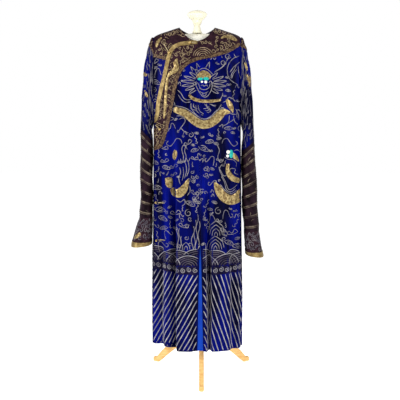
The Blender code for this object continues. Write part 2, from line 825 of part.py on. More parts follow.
# slices: x, height of the top, half depth at the chest, share of the waist's depth
FORM_TOP = ((0.0, 1.478), (0.035, 1.476), (0.060, 1.474), (0.085, 1.482), (0.105, 1.4865), (0.15, 1.4715))
FORM_ROWS = (0.0, 0.10, 0.25, 0.42, 0.58, 0.70, 0.80, 0.88, 0.94, 0.98)


def form_depth(x, z, front):
    """Half depth of the torso at a height, by a chest and a waist."""
    chest = 0.100 if front else 0.096
    waist = 0.082
    level = ease((z - 0.98) / 0.24)
    body = mix(waist, chest, level)
    wide = mix(0.135, 0.163, ease((z - 1.0) / 0.22))
    return body * max(1.0 - (abs(x) / wide) ** 2.3, 0.0) ** (1.0 / 2.3)


def form_slice(x):
    top = read_table(FORM_TOP, abs(x), 1)
    wide_low = 0.135
    bottom = FORM_BOTTOM + 0.30 * ease((abs(x) - 0.095) / 0.060)
    loop = []
    # up the front, over the top, down the back
    for front in (True, False):
        part = []
        for g in FORM_ROWS + (1.0,):
            z = bottom + (top - bottom) * g
            deep = form_depth(x, z, front) if abs(x) < wide_low or z > 1.1 else 0.02
            deep = max(deep, 0.016)
            over = max((z - 1.10) / (top - 1.10), 0.0)
            deep *= max(1.0 - over ** 2.6, 0.0) ** (1.0 / 2.6)
            y = ROBE_Y + (-deep if front else deep)
            part.append(Vector((x, y, z)))
        loop += part if front else part[-2::-1]
    return loop


form_x = [-0.150, -0.138, -0.120, -0.098, -0.076, -0.055, -0.035, -0.012,
          0.012, 0.035, 0.055, 0.076, 0.098, 0.120, 0.138, 0.150]
slices = [form_slice(x) for x in form_x]
loop_count = len(slices[0])
form_points = [p for loop in slices for p in loop]
form_faces = []
for j in range(len(slices) - 1):
    for k in range(loop_count):
        a = j * loop_count + k
        b = j * loop_count + (k + 1) % loop_count
        form_faces.append((a, a + loop_count, b + loop_count, b))
form_faces.append(tuple(range(loop_count)))
form_faces.append(tuple(range(len(form_points) - 1, len(form_points) - 1 - loop_count, -1)))
add_object("form_torso", form_points, form_faces, LINEN, 0.85)


def turned(name, profile, colour, centre=(0.0, ROBE_Y), sides=20, roughness=0.5):
    """Turned solid from rows of height and radius, bottom to top."""
    points = []
    faces = []
    for z, radius in profile:
        for k in range(sides):
            angle = 2.0 * math.pi * k / sides
            points.append(Vector((centre[0] + radius * math.cos(angle), centre[1] + radius * math.sin(angle), z)))
    for j in range(len(profile) - 1):
        for k in range(sides):
            a = j * sides + k
            b = j * sides + (k + 1) % sides
            faces.append((a, b, b + sides, a + sides))
    faces.append(tuple(range(sides - 1, -1, -1)))
    top = (len(profile) - 1) * sides
    faces.append(tuple(range(top, top + sides)))
    return add_object(name, points, faces, colour, roughness)


FINIAL = (
    (1.4783, 0.0195), (1.4830, 0.0205), (1.4870, 0.0160), (1.5050, 0.0128), (1.5150, 0.0150),
    (1.5195, 0.0185), (1.5300, 0.0210), (1.5400, 0.0330), (1.5500, 0.0410), (1.5575, 0.0410),
    (1.5650, 0.0330), (1.5710, 0.0120),
)
turned("finial", FINIAL, LINEN, sides=16)

BASE_X = 0.018
POLE_RADIUS = 0.0125
turned("pole", ((0.2803, POLE_RADIUS), (FORM_BOTTOM - SEAM, POLE_RADIUS)), PINE, (BASE_X, ROBE_Y), 16)
HUB = ((0.206, 0.016), (0.212, 0.0205), (0.220, 0.022), (0.262, 0.022), (0.270, 0.0205), (0.280, 0.016))
turned("hub", HUB, PINE, (BASE_X, ROBE_Y), 18)

# Legs: distance from the pole's axis, height of the middle, half height, half width
LEG = (
    (0.0226, 0.2360, 0.0160, 0.0070), (0.0360, 0.2260, 0.0160, 0.0085), (0.0470, 0.1900, 0.0145, 0.0100),
    (0.0550, 0.1500, 0.0135, 0.0105), (0.0640, 0.1190, 0.0125, 0.0105), (0.0880, 0.1000, 0.0130, 0.0105),
    (0.1180, 0.0985, 0.0145, 0.0105), (0.1420, 0.0920, 0.0160, 0.0105), (0.1680, 0.0720, 0.0165, 0.0105),
    (0.1930, 0.0485, 0.0155, 0.0105), (0.2130, 0.0275, 0.0140, 0.0105), (0.2300, 0.0105, 0.0125, 0.0105),
    (0.2500, 0.0105, 0.0105, 0.0105),
)
LEG_AZIMUTHS = (-90.0, 30.0, 150.0)


def leg(name, azimuth):
    turn = math.radians(azimuth)
    out = Vector((math.cos(turn), math.sin(turn), 0.0))
    wide = Vector((-math.sin(turn), math.cos(turn), 0.0))
    base = Vector((BASE_X, ROBE_Y, 0.0))
    points = []
    count = len(LEG)
    for k, (reach, z, high, half) in enumerate(LEG):
        before = LEG[max(k - 1, 0)]
        after = LEG[min(k + 1, count - 1)]
        along = Vector((after[0] - before[0], after[1] - before[1])).normalized()
        if k in (0, count - 1):
            along = Vector((1.0, 0.0))
        up = Vector((-along.y, along.x))
        for across, rise in ((-1.0, -0.55), (-0.6, -1.0), (0.6, -1.0), (1.0, -0.55),
                             (1.0, 0.55), (0.6, 1.0), (-0.6, 1.0), (-1.0, 0.55)):
            r = reach + up.x * high * rise
            h = z + up.y * high * rise
            h = max(h, 0.0)
            points.append(base + out * r + wide * (half * across) + Vector((0.0, 0.0, h)))
    faces = []
    for j in range(count - 1):
        for k in range(8):
            a = j * 8 + k
            b = j * 8 + (k + 1) % 8
            faces.append((a, b, b + 8, a + 8))
    faces.append(tuple(range(7, -1, -1)))
    faces.append(tuple(range(len(points) - 8, len(points))))
    return add_object(name, points, faces, PINE)


for number, azimuth in enumerate(LEG_AZIMUTHS):
    leg("leg_" + str(number + 1), azimuth)

# Buttons and loops, seated on what lies under them

bpy.context.view_layer.update()
carriers = [o for o in bpy.context.scene.objects if not o.name.startswith(("form", "finial", "pole", "hub", "leg"))]
seat_points = []
seat_faces = []
for thing in carriers:
    start = len(seat_points)
    seat_points += [v.co.copy() for v in thing.data.vertices]
    seat_faces += [tuple(start + i for i in face.vertices) for face in thing.data.polygons]
seat_tree = BVHTree.FromPolygons(seat_points, seat_faces)


def seat(x, z):
    """Point and normal of the outermost cloth at a place on the front."""
    hit, normal, _, _ = seat_tree.ray_cast(Vector((x, -1.0, z)), Vector((0.0, 1.0, 0.0)))
    if normal.y > 0.0:
        normal = -normal
    return hit, normal


def clear_of(place, normal, radius):
    """Centre of a round piece that lies on the cloth, just clear of all of it."""
    centre = place + normal * (radius + SEAM)
    for _ in range(40):
        near = seat_tree.find_nearest(centre)
        if near[3] >= radius + SEAM:
            break
        centre = centre + normal * 0.0002
    return centre


def tube(name, centres, radius, colour, sides=5):
    """Closed tube through a short list of points."""
    points = []
    faces = []
    count = len(centres)
    up = Vector((0.0, -1.0, 0.0))
    for k in range(count):
        before = centres[max(k - 1, 0)]
        after = centres[min(k + 1, count - 1)]
        along = (after - before).normalized()
        a = along.cross(up)
        if a.length < 0.2:
            a = along.cross(Vector((0.0, 0.0, 1.0)))
        a.normalize()
        b = along.cross(a)
        for s in range(sides):
            angle = 2.0 * math.pi * s / sides
            points.append(centres[k] + (a * math.cos(angle) + b * math.sin(angle)) * radius)
    for j in range(count - 1):
        for s in range(sides):
            p = j * sides + s
            q = j * sides + (s + 1) % sides
            faces.append((p, q, q + sides, p + sides))
    faces.append(tuple(range(sides - 1, -1, -1)))
    faces.append(tuple(range(len(points) - sides, len(points))))
    return add_object(name, points, faces, colour, 0.35, 0.6)


def ball(name, centre, radius, colour):
    points = []
    faces = []
    rings = 6
    sides = 10
    points.append(centre + Vector((0.0, 0.0, -radius)))
    for j in range(1, rings):
        polar = math.pi * j / rings
        for s in range(sides):
            angle = 2.0 * math.pi * s / sides
            points.append(centre + Vector((
                radius * math.sin(polar) * math.cos(angle),
                radius * math.sin(polar) * math.sin(angle),
                -radius * math.cos(polar),
            )))
    points.append(centre + Vector((0.0, 0.0, radius)))
    for s in range(sides):
        faces.append((0, 1 + (s + 1) % sides, 1 + s))
    for j in range(rings - 2):
        for s in range(sides):
            a = 1 + j * sides + s
            b = 1 + j * sides + (s + 1) % sides
            faces.append((a, b, b + sides, a + sides))
    top = len(points) - 1
    ring = 1 + (rings - 2) * sides
    for s in range(sides):
        faces.append((ring + s, ring + (s + 1) % sides, top))
    return add_object(name, points, faces, colour, 0.3, 0.8)


BUTTON_RADIUS = 0.0055
CORD_RADIUS = 0.0018
# name, button x and height, far end of the cord x and height
FASTENINGS = (
    ("neck", -0.030, 1.431, -0.006, 1.433),
    ("collarbone", -0.115, 1.391, -0.137, 1.428),
    ("underarm", -0.153, 1.078, -0.173, 1.094),
    ("side_upper", -0.172, 0.765, -0.135, 0.767),
    ("side_lower", -0.172, 0.600, -0.135, 0.607),
)
for name, x, z, far_x, far_z in FASTENINGS:
    place, normal = seat(x, z)
    ball("button_" + name, clear_of(place, normal, BUTTON_RADIUS), BUTTON_RADIUS, GOLD_CLOTH)
    length = math.hypot(far_x - x, far_z - z)
    ux = (far_x - x) / length
    uz = (far_z - z) / length
    start = BUTTON_RADIUS + CORD_RADIUS + 0.0006
    centres = []
    for k in range(61):
        t = mix(start, length, k / 60.0)
        hit, n = seat(x + ux * t, z + uz * t)
        centre = clear_of(hit, n, CORD_RADIUS + 0.0004)
        if not centres or (centre - centres[-1]).length > 0.0032:
            centres.append(centre)
    tube("loop_" + name, centres, CORD_RADIUS, GOLD_CLOTH)
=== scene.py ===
import math
import random

import bpy
import numpy as np
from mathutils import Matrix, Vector
from mathutils.bvhtree import BVHTree
from mathutils.geometry import delaunay_2d_cdt


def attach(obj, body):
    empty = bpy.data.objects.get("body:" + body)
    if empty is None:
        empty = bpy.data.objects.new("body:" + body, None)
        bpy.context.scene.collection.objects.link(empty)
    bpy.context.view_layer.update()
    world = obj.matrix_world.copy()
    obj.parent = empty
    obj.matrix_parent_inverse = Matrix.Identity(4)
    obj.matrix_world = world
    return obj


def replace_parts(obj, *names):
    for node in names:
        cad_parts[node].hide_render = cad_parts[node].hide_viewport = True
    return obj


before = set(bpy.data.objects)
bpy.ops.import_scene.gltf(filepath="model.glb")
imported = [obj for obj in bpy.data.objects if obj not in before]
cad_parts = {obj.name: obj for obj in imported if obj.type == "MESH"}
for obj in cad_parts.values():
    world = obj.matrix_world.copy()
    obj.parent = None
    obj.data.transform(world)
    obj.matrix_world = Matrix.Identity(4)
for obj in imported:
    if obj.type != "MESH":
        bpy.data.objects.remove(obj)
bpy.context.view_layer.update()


def say(text):
    print("scene:", text)


# the robe's sizes, the same as the solids'
robe = {
    "axisY": 0.053,
    "wall": 0.0010,
    "layer": 0.0018,
    "hem": 0.120,
    "underarm": 1.100,
    "slitTop": 0.600,
    "neckFront": 1.440,
    "neckBack": 1.474,
    "neckHalf": 0.074,
    "sectionPower": 2.3,
    "shoulderPower": 2.6,
    "facingReach": 0.176,
    "overlapShort": 0.020,
    "borderWidth": 0.014,
    "bindingWidth": 0.012,
    "hemRiseUnder": 0.016,
    "hemRiseOverlap": 0.026,
    "riseFrom": -0.084,
    "riseOver": 0.016,
    "quarterWidth": 0.30,
    "columns": 64,
    "skirtRows": 118,
    "shoulderRows": 58,
}

# body sections: height, half width, depth to the front, depth to the back
bodyTable = (
    (0.10, 0.199, 0.104, 0.142),
    (0.30, 0.199, 0.110, 0.141),
    (0.60, 0.193, 0.117, 0.137),
    (0.90, 0.188, 0.123, 0.131),
    (1.10, 0.186, 0.124, 0.127),
    (1.14, 0.199, 0.124, 0.126),
    (1.20, 0.209, 0.122, 0.124),
    (1.30, 0.213, 0.118, 0.120),
    (1.40, 0.217, 0.114, 0.116),
    (1.50, 0.226, 0.112, 0.114),
)
shoulderTable = ((0.0, 1.512), (0.074, 1.4985), (0.118, 1.485), (0.165, 1.469), (0.186, 1.457), (0.23, 1.43))
centreTable = ((0.10, 0.013), (0.60, 0.013), (1.10, 0.012), (1.30, 0.010), (1.40, 0.004), (1.45, 0.0))

# quarter, place at hem, place at top, width, depth, lean, full below, gone above
folds = (
    ("frontRight", 0.359, 0.370, 0.085, 0.052, -0.016, 0.45, 1.26),
    ("frontRight", 0.640, 0.620, 0.190, 0.030, 0.000, 0.40, 1.15),
    ("frontRight", 0.900, 0.900, 0.080, 0.016, 0.000, 0.55, 1.20),
    ("frontRight", 0.000, 0.000, 0.110, 0.013, 0.000, 0.14, 0.50),
    ("frontLeft", 0.100, 0.096, 0.056, 0.030, 0.004, 0.45, 1.08),
    ("frontLeft", 0.560, 0.500, 0.150, 0.016, 0.000, 0.40, 1.02),
    ("frontLeft", 0.880, 0.900, 0.090, 0.020, 0.000, 0.55, 1.24),
    ("frontLeft", 0.000, 0.000, 0.060, 0.008, 0.000, 0.14, 0.48),
    ("backLeft", 0.200, 0.170, 0.110, 0.030, 0.000, 0.35, 1.10),
    ("backLeft", 0.500, 0.470, 0.100, 0.036, 0.008, 0.35, 1.22),
    ("backLeft", 0.800, 0.800, 0.110, 0.022, 0.000, 0.40, 1.05),
    ("backRight", 0.230, 0.200, 0.100, 0.034, -0.008, 0.35, 1.18),
    ("backRight", 0.560, 0.500, 0.120, 0.028, 0.000, 0.35, 1.05),
    ("backRight", 0.840, 0.820, 0.090, 0.024, 0.000, 0.40, 1.18),
)

# soft creases: quarter, share and height at one end, share and height at the other, half width, depth
creases = (
    ("frontLeft", 0.92, 1.13, 0.62, 1.30, 0.012, 0.0050),
    ("frontLeft", 0.95, 1.12, 0.70, 1.20, 0.010, 0.0045),
    ("frontLeft", 0.90, 1.16, 0.80, 1.40, 0.011, 0.0060),
    ("frontLeft", 0.40, 1.36, 0.62, 1.22, 0.010, 0.0025),
    ("frontLeft", 0.30, 1.05, 0.42, 0.78, 0.012, 0.0030),
    ("frontLeft", 0.72, 0.98, 0.66, 0.60, 0.013, 0.0040),
    ("frontLeft", 0.36, 0.52, 0.40, 0.16, 0.011, 0.0040),
    ("frontLeft", 0.74, 0.50, 0.72, 0.14, 0.012, 0.0040),
    ("frontRight", 0.94, 1.13, 0.78, 1.30, 0.011, 0.0055),
    ("frontRight", 0.96, 1.12, 0.70, 1.18, 0.010, 0.0035),
    ("frontRight", 0.12, 1.02, 0.18, 0.70, 0.012, 0.0030),
    ("frontRight", 0.16, 0.56, 0.20, 0.16, 0.012, 0.0045),
    ("frontRight", 0.50, 0.70, 0.48, 0.20, 0.012, 0.0035),
    ("frontRight", 0.78, 0.90, 0.78, 0.40, 0.012, 0.0040),
    ("frontRight", 0.42, 1.02, 0.40, 0.50, 0.014, 0.0050),
    ("backLeft", 0.92, 1.13, 0.60, 1.32, 0.012, 0.0050),
    ("backLeft", 0.36, 0.90, 0.34, 0.30, 0.012, 0.0040),
    ("backLeft", 0.64, 0.80, 0.66, 0.20, 0.012, 0.0035),
    ("backRight", 0.93, 1.14, 0.58, 1.30, 0.012, 0.0045),
    ("backRight", 0.40, 0.95, 0.42, 0.35, 0.012, 0.0040),
    ("backRight", 0.10, 0.70, 0.12, 0.20, 0.011, 0.0030),
)

overlapEdge = (
    (0.060, 1.446), (0.020, 1.443), (-0.033, 1.439), (-0.087, 1.428), (-0.118, 1.395),
    (-0.141, 1.301), (-0.166, 1.199), (-0.178, 1.125), (-0.230, 1.085),
)
facingEdge = (
    (0.260, 1.440), (0.193, 1.428), (0.136, 1.395), (0.074, 1.374), (0.012, 1.361),
    (-0.037, 1.341), (-0.070, 1.300), (-0.087, 1.239), (-0.103, 1.158),
    (-0.134, 1.033), (-0.166, 0.992), (-0.240, 0.985),
)
shoulderEdge = ((-0.010, 1.345), (-0.080, 1.352), (-0.132, 1.362), (-0.195, 1.380), (-0.260, 1.395))


def mix(a, b, t):
    return a + (b - a) * t


def ease(t):
    t = np.clip(t, 0.0, 1.0)
    return t * t * (3.0 - 2.0 * t)


def tableValue(table, at, column=1):
    rows = np.array([[row[0], row[column]] for row in table], dtype=float)
    xs, ys = rows[:, 0], rows[:, 1]
    step = np.diff(xs)
    rise = np.diff(ys) / step
    slope = np.zeros(len(xs))
    for k in range(1, len(xs) - 1):
        if rise[k - 1] * rise[k] > 0:
            slope[k] = 2 * rise[k - 1] * rise[k] / (rise[k - 1] + rise[k])
    at = np.clip(np.asarray(at, dtype=float), xs[0], xs[-1])
    k = np.clip(np.searchsorted(xs, at) - 1, 0, len(step) - 1)
    t = (at - xs[k]) / step[k]
    return ((1 + 2 * t) * (1 - t) ** 2 * ys[k] + t * (1 - t) ** 2 * step[k] * slope[k]
            + t * t * (3 - 2 * t) * ys[k + 1] + t * t * (t - 1) * step[k] * slope[k + 1])


def isFront(quarter):
    return quarter.startswith("front")


def sideOf(quarter):
    return 1.0 if quarter.endswith("Left") else -1.0


def centreShift(quarter, z):
    return tableValue(centreTable, z) if isFront(quarter) else np.zeros_like(np.asarray(z, dtype=float))


def slitGap(z):
    share = np.clip((robe["slitTop"] - z) / (robe["slitTop"] - robe["hem"]), 0.0, 1.0)
    return 0.00015 + 0.0122 * share ** 0.7


def withFolds(quarter, c, x, d, z, half, depth):
    p = robe["sectionPower"]
    nx = np.maximum(x / half, 0.0) ** (p - 1) / half
    nd = np.maximum(d / depth, 0.0) ** (p - 1) / depth
    size = np.maximum(np.hypot(nx, nd), 1e-9)
    nx, nd = nx / size, nd / size
    move = np.zeros_like(x)
    slide = np.zeros_like(x)
    for name, atHem, atTop, width, deep, lean, full, gone in folds:
        if name != quarter:
            continue
        place = mix(atHem, atTop, ease((z - robe["hem"]) / (gone - robe["hem"])))
        t = np.clip((c - place) / width, -1.0, 1.0)
        share = ease((gone - z) / (gone - full)) * 0.5 * (1 + np.cos(math.pi * t))
        move = move - deep * share
        slide = slide + lean * share
    return x + nx * move + nd * slide, d + nd * move - nx * slide


# points below the underarm for arrays of shares and heights
def bodyPoints(quarter, c, z):
    half = tableValue(bodyTable, z, 1)
    depth = tableValue(bodyTable, z, 2 if isFront(quarter) else 3)
    power = 2.0 / robe["sectionPower"]
    across = np.sin(c * math.pi / 2) ** power
    x = half * across
    d = depth * np.maximum(np.cos(c * math.pi / 2), 0.0) ** power
    x, d = withFolds(quarter, c, x, d, z, half, depth)
    side = sideOf(quarter)
    x = (side * np.maximum(x, 0.0) + centreShift(quarter, z) * (1 - across)
         + side * slitGap(z) * (1 - ease(c / 0.12)))
    d = np.maximum(d, 0.0002)
    return np.stack([x, robe["axisY"] + (-d if isFront(quarter) else d), z + 0.0 * x], axis=-1)


def neckHeight(quarter, x):
    t = np.minimum(x / robe["neckHalf"], 1.0)
    low = robe["neckFront"] if isFront(quarter) else robe["neckBack"]
    top = tableValue(shoulderTable, robe["neckHalf"])
    return low + (top - low) * ((0.10 * t + 0.90 * t ** 2.2) if isFront(quarter) else t ** 2.0)


def neckEdge(quarter, g):
    xs = np.linspace(0.0, robe["neckHalf"], 200)
    rows = (neckHeight(quarter, xs) - robe["underarm"]) / (tableValue(shoulderTable, xs) - robe["underarm"])
    return np.interp(g, rows, xs)


def armholeX(g):
    return tableValue(bodyTable, robe["underarm"], 1) - 0.006 * np.sin(math.pi * g) - 0.001 * g


def shoulderPoints(quarter, c, g):
    power = 2.0 / robe["sectionPower"]
    across = np.sin(c * math.pi / 2) ** power
    inner = neckEdge(quarter, g)
    x = inner + (armholeX(g) - inner) * across
    z = robe["underarm"] + (tableValue(shoulderTable, x) - robe["underarm"]) * g
    half = tableValue(bodyTable, z, 1)
    depth = tableValue(bodyTable, z, 2 if isFront(quarter) else 3)
    p = robe["sectionPower"]
    s = robe["shoulderPower"]
    roundOff = np.maximum(1 - g ** s, 0.0) ** (1 / s)
    d = depth * np.maximum(1 - (x / half) ** p, 0.0) ** (1 / p) * roundOff
    fx, fd = withFolds(quarter, c, x, np.maximum(d, 0.0), z, half, depth)
    x = np.where(g < 0.9, fx, x)
    d = np.where(g < 0.9, fd, d)
    side = sideOf(quarter)
    x = side * (x + 0.00015 * (1 - ease(c / 0.12))) + centreShift(quarter, z) * (1 - across)
    d = np.where(g < 1.0, np.maximum(d, 0.0002), d)
    return np.stack([x, robe["axisY"] + (-d if isFront(quarter) else d), z], axis=-1)


# shares that lie evenly along the cloth, folds included
def evenColumns(quarter, count):
    c = np.linspace(0, 1, 600)
    length = np.zeros(600)
    for z in (0.20, 0.50, 0.90):
        p = bodyPoints(quarter, c, np.full(600, z))
        length[1:] += np.cumsum(np.linalg.norm(np.diff(p, axis=0), axis=1))
    return np.interp(np.linspace(0, length[-1], count + 1), length, c)


skirtHeights = np.linspace(robe["hem"], robe["underarm"], robe["skirtRows"] + 1)[:-1]
shoulderShares = np.sin(np.linspace(0, math.pi / 2, robe["shoulderRows"] + 1)) ** 1.15


def unit(n):
    return n / np.maximum(np.linalg.norm(n, axis=-1, keepdims=True), 1e-12)


def gridNormals(points, sign):
    return unit(np.cross(np.gradient(points, axis=1), np.gradient(points, axis=0)) * sign)


# heights of the skirt's rows; the right front hangs higher beyond its deep fold
def skirtLevels(quarter, cc):
    rise = robe["hemRiseUnder"] * ease((cc - 0.34) / 0.12) if quarter == "frontRight" else 0.0
    share = (skirtHeights[:, None] - robe["hem"]) / (robe["underarm"] - robe["hem"])
    return mix(robe["hem"] + rise, robe["underarm"], share) + 0.0 * cc


def quarterGrid(quarter, columns):
    cc = np.broadcast_to(columns, (len(skirtHeights), len(columns)))
    zz = skirtLevels(quarter, cc)
    low = bodyPoints(quarter, cc, zz)
    gg = np.broadcast_to(shoulderShares[:, None], (len(shoulderShares), len(columns)))
    high = shoulderPoints(quarter, np.broadcast_to(columns, gg.shape), gg)
    return np.concatenate([low, high])


def addCreases(quarter, points, normals, columns):
    rows = points.shape[0]
    cc = np.broadcast_to(columns, points.shape[:2])
    flat = cc * robe["quarterWidth"]
    z = points[..., 2]
    edge = np.minimum(cc, 1 - cc)
    fade = ease(edge / 0.05)
    move = np.zeros(points.shape[:2])
    for name, c0, z0, c1, z1, width, deep in creases:
        if name != quarter:
            continue
        ax, az, bx, bz = c0 * robe["quarterWidth"], z0, c1 * robe["quarterWidth"], z1
        dx, dz = bx - ax, bz - az
        t = ((flat - ax) * dx + (z - az) * dz) / (dx * dx + dz * dz)
        tt = np.clip(t, 0, 1)
        bend = 0.006 * np.sin(tt * 5.0 + c0 * 9.0)
        far = np.hypot(flat - ax - dx * tt + bend, z - az - dz * tt)
        taper = np.sin(np.clip(tt * 0.86 + 0.14, 0, 1) * math.pi) ** 0.7
        move -= deep * taper * np.exp(-(far / width) ** 2)
        move += 0.45 * deep * taper * np.exp(-((far - 1.9 * width) / width) ** 2)
    # a low unevenness, as hanging silk has
    wave = 0.0009 * np.sin(flat * 61.0 + z * 9.0 + 2.0 * np.sin(z * 7.3)) * np.sin(z * 14.0 + flat * 23.0)
    move = (move + wave) * fade * ease((1.47 - z) / 0.08)
    return points + normals * move[..., None]


# a sheet is points, normals and triangles before it gets a thickness

def gridSheet(points, normals, closed=False, flip=False):
    rows, count = points.shape[:2]
    index = np.arange(rows * count).reshape(rows, count)
    if closed:
        index = np.concatenate([index, index[:, :1]], axis=1)
    a, b, c, d = index[:-1, :-1], index[:-1, 1:], index[1:, 1:], index[1:, :-1]
    triangles = np.concatenate([np.stack([a, b, c], -1).reshape(-1, 3),
                                np.stack([a, c, d], -1).reshape(-1, 3)])
    if flip:
        triangles = triangles[:, ::-1]
    return {"points": points.reshape(-1, 3), "normals": normals.reshape(-1, 3), "triangles": triangles}


def compact(points, normals, triangles):
    used, inverse = np.unique(triangles, return_inverse=True)
    return {"points": points[used], "normals": normals[used], "triangles": inverse.reshape(-1, 3)}


# the part of the sheet where the values, one per point, are above zero
def cut(sheet, values):
    points, normals, triangles = sheet["points"], sheet["normals"], sheet["triangles"]
    values = np.where(np.abs(values) < 1e-6, 1e-6, values)
    inside = values[triangles] > 0
    count = inside.sum(axis=1)
    kept = [triangles[count == 3]]
    newPoints, newNormals, extra, edges = [], [], [], {}

    def crossing(a, b):
        key = (a, b) if a < b else (b, a)
        if key not in edges:
            lo, hi = key
            t = min(max(values[lo] / (values[lo] - values[hi]), 0.03), 0.97)
            edges[key] = len(points) + len(newPoints)
            newPoints.append(points[lo] + (points[hi] - points[lo]) * t)
            newNormals.append(normals[lo] + (normals[hi] - normals[lo]) * t)
        return edges[key]

    for corners, inn in zip(triangles[(count == 1) | (count == 2)].tolist(),
                            inside[(count == 1) | (count == 2)].tolist()):
        one = sum(inn) == 1
        k = inn.index(one)
        a, b, c = corners[k], corners[(k + 1) % 3], corners[(k + 2) % 3]
        ab, ca = crossing(a, b), crossing(a, c)
        extra += [(a, ab, ca)] if one else [(ab, b, c), (ab, c, ca)]
    if extra:
        kept.append(np.array(extra))
        points = np.concatenate([points, np.array(newPoints)])
        normals = np.concatenate([normals, np.array(newNormals)])
    return compact(points, normals, np.concatenate(kept))


def thicken(sheet, low, high):
    count = len(sheet["points"])
    top = sheet["points"] + sheet["normals"] * high
    under = sheet["points"] + sheet["normals"] * low
    t = sheet["triangles"]
    edge = np.concatenate([t[:, [0, 1]], t[:, [1, 2]], t[:, [2, 0]]])
    code = edge[:, 0].astype(np.int64) * count + edge[:, 1]
    back = edge[:, 1].astype(np.int64) * count + edge[:, 0]
    rim = edge[~np.isin(code, back)]
    a, b = rim[:, 0], rim[:, 1]
    walls = np.concatenate([np.stack([b, a, a + count], -1), np.stack([b, a + count, b + count], -1)])
    return np.concatenate([top, under]), np.concatenate([t, t[:, ::-1] + count, walls])


def addMesh(name, points, faces, material, smooth=60.0):
    faces = np.asarray(faces, dtype=np.int32)
    mesh = bpy.data.meshes.new(name)
    mesh.vertices.add(len(points))
    mesh.vertices.foreach_set("co", np.asarray(points, dtype=np.float32).ravel())
    mesh.loops.add(faces.size)
    mesh.loops.foreach_set("vertex_index", faces.ravel())
    mesh.polygons.add(len(faces))
    mesh.polygons.foreach_set("loop_start", np.arange(0, faces.size, faces.shape[1], dtype=np.int32))
    mesh.update(calc_edges=True)
    mesh.validate()
    mesh.shade_smooth()
    mesh.set_sharp_from_angle(angle=math.radians(smooth))
    mesh.materials.append(material)
    thing = bpy.data.objects.new(name, mesh)
    bpy.context.scene.collection.objects.link(thing)
    return thing


# distance to a path, above zero on the left of its direction
def pathDistance(path, x, z):
    best = np.full(np.shape(x), 9.0)
    sign = np.ones(np.shape(x))
    for (ax, az), (bx, bz) in zip(path[:-1], path[1:]):
        dx, dz = bx - ax, bz - az
        t = np.clip(((x - ax) * dx + (z - az) * dz) / (dx * dx + dz * dz), 0, 1)
        px, pz = x - ax - dx * t, z - az - dz * t
        far = np.hypot(px, pz)
        closer = far < best - 1e-9
        best = np.where(closer, far, best)
        sign = np.where(closer, np.where(dx * pz - dz * px >= 0, 1.0, -1.0), sign)
    return best * sign


# a rounder path through the same points
def smoothPath(path, steps=6):
    p = np.array(path)
    out = []
    for k in range(len(p) - 1):
        a, b = p[max(k - 1, 0)], p[k]
        c, d = p[k + 1], p[min(k + 2, len(p) - 1)]
        for t in np.linspace(0, 1, steps, endpoint=False):
            square, cube = 2 * a - 5 * b + 4 * c - d, 3 * b - a - 3 * c + d
            out.append(tuple(0.5 * (2 * b + (c - a) * t + square * t ** 2 + cube * t ** 3)))
    out.append(tuple(p[-1]))
    return out


overlapPath = smoothPath(overlapEdge)
facingPath = smoothPath(facingEdge)
shoulderPath = smoothPath(shoulderEdge)


def insideOverlap(p):
    return pathDistance(overlapPath, p[..., 0], p[..., 2])


def aboveFacing(p):
    return -pathDistance(facingPath, p[..., 0], p[..., 2])


def aboveShoulder(p):
    return -pathDistance(shoulderPath, p[..., 0], p[..., 2])


# the four quarters and the two lengths

def underDrop(c, g):
    return robe["layer"] * (1 - ease(c / 0.30)) * (1 - ease((g - 0.80) / 0.15))


def lengthGrids(side):
    front, back = "front" + side, "back" + side
    columns = evenColumns(front, robe["columns"])
    spread = evenColumns(back, robe["columns"])
    f = quarterGrid(front, columns)
    cc = np.broadcast_to(spread, (len(skirtHeights), len(spread)))
    low = bodyPoints(back, cc, np.broadcast_to(skirtHeights[:, None], cc.shape))
    gg = np.broadcast_to(shoulderShares[:, None], (len(shoulderShares), len(columns)))
    t = ease(gg)
    high = shoulderPoints(back, mix(spread[None, :], columns[None, :], t), gg)
    b = np.concatenate([low, high])
    whole = np.concatenate([f, b[::-1][1:]])
    sign = sideOf(side)
    normals = gridNormals(whole, sign)
    rows = len(f)
    whole[:rows] = addCreases(front, whole[:rows], normals[:rows], columns)
    whole[rows:] = addCreases(back, whole[rows:], normals[rows:], spread)
    normals = gridNormals(whole, sign)
    # seams lie in their own planes
    straight = rows - 14
    for j in list(range(straight)) + list(range(len(whole) - straight, len(whole))):
        normals[j, 0, 0] = 0.0
    for j in list(range(len(skirtHeights))) + list(range(len(whole) - len(skirtHeights), len(whole))):
        normals[j, -1, 1] = 0.0
    normals /= np.linalg.norm(normals, axis=2, keepdims=True)
    return whole, normals, columns, rows


leftGrid, leftNormals, _, frontRows = lengthGrids("Left")
rightGrid, rightNormals, rightColumns, _ = lengthGrids("Right")
rowShares = np.concatenate([np.zeros(len(skirtHeights)), shoulderShares])
drop = np.zeros(rightGrid.shape[:2])
drop[:frontRows] = underDrop(rightColumns[None, :], rowShares[:, None])
rightGrid = rightGrid - rightNormals * drop[..., None]
overlapGrid = rightGrid[:frontRows] + rightNormals[:frontRows] * robe["layer"]
overlapNormals = rightNormals[:frontRows]
say("grids made")

leftSheet = gridSheet(leftGrid, leftNormals)
rightSheet = gridSheet(rightGrid, rightNormals, flip=True)
overlapAll = gridSheet(overlapGrid, overlapNormals, flip=True)


# keeps what lies in front of the side seam and short of the armhole
def shortOfSide(sheet, more=0.0):
    p = sheet["points"]
    sheet = cut(sheet, robe["axisY"] - robe["overlapShort"] - more - p[:, 1])
    p = sheet["points"]
    reach = np.maximum(robe["facingReach"] + 0.002 - more + p[:, 0], robe["underarm"] - 0.02 - p[:, 2])
    return cut(sheet, reach)


overlapSheet = shortOfSide(overlapAll)
overlapSheet = cut(overlapSheet, insideOverlap(overlapSheet["points"]) - 0.002)


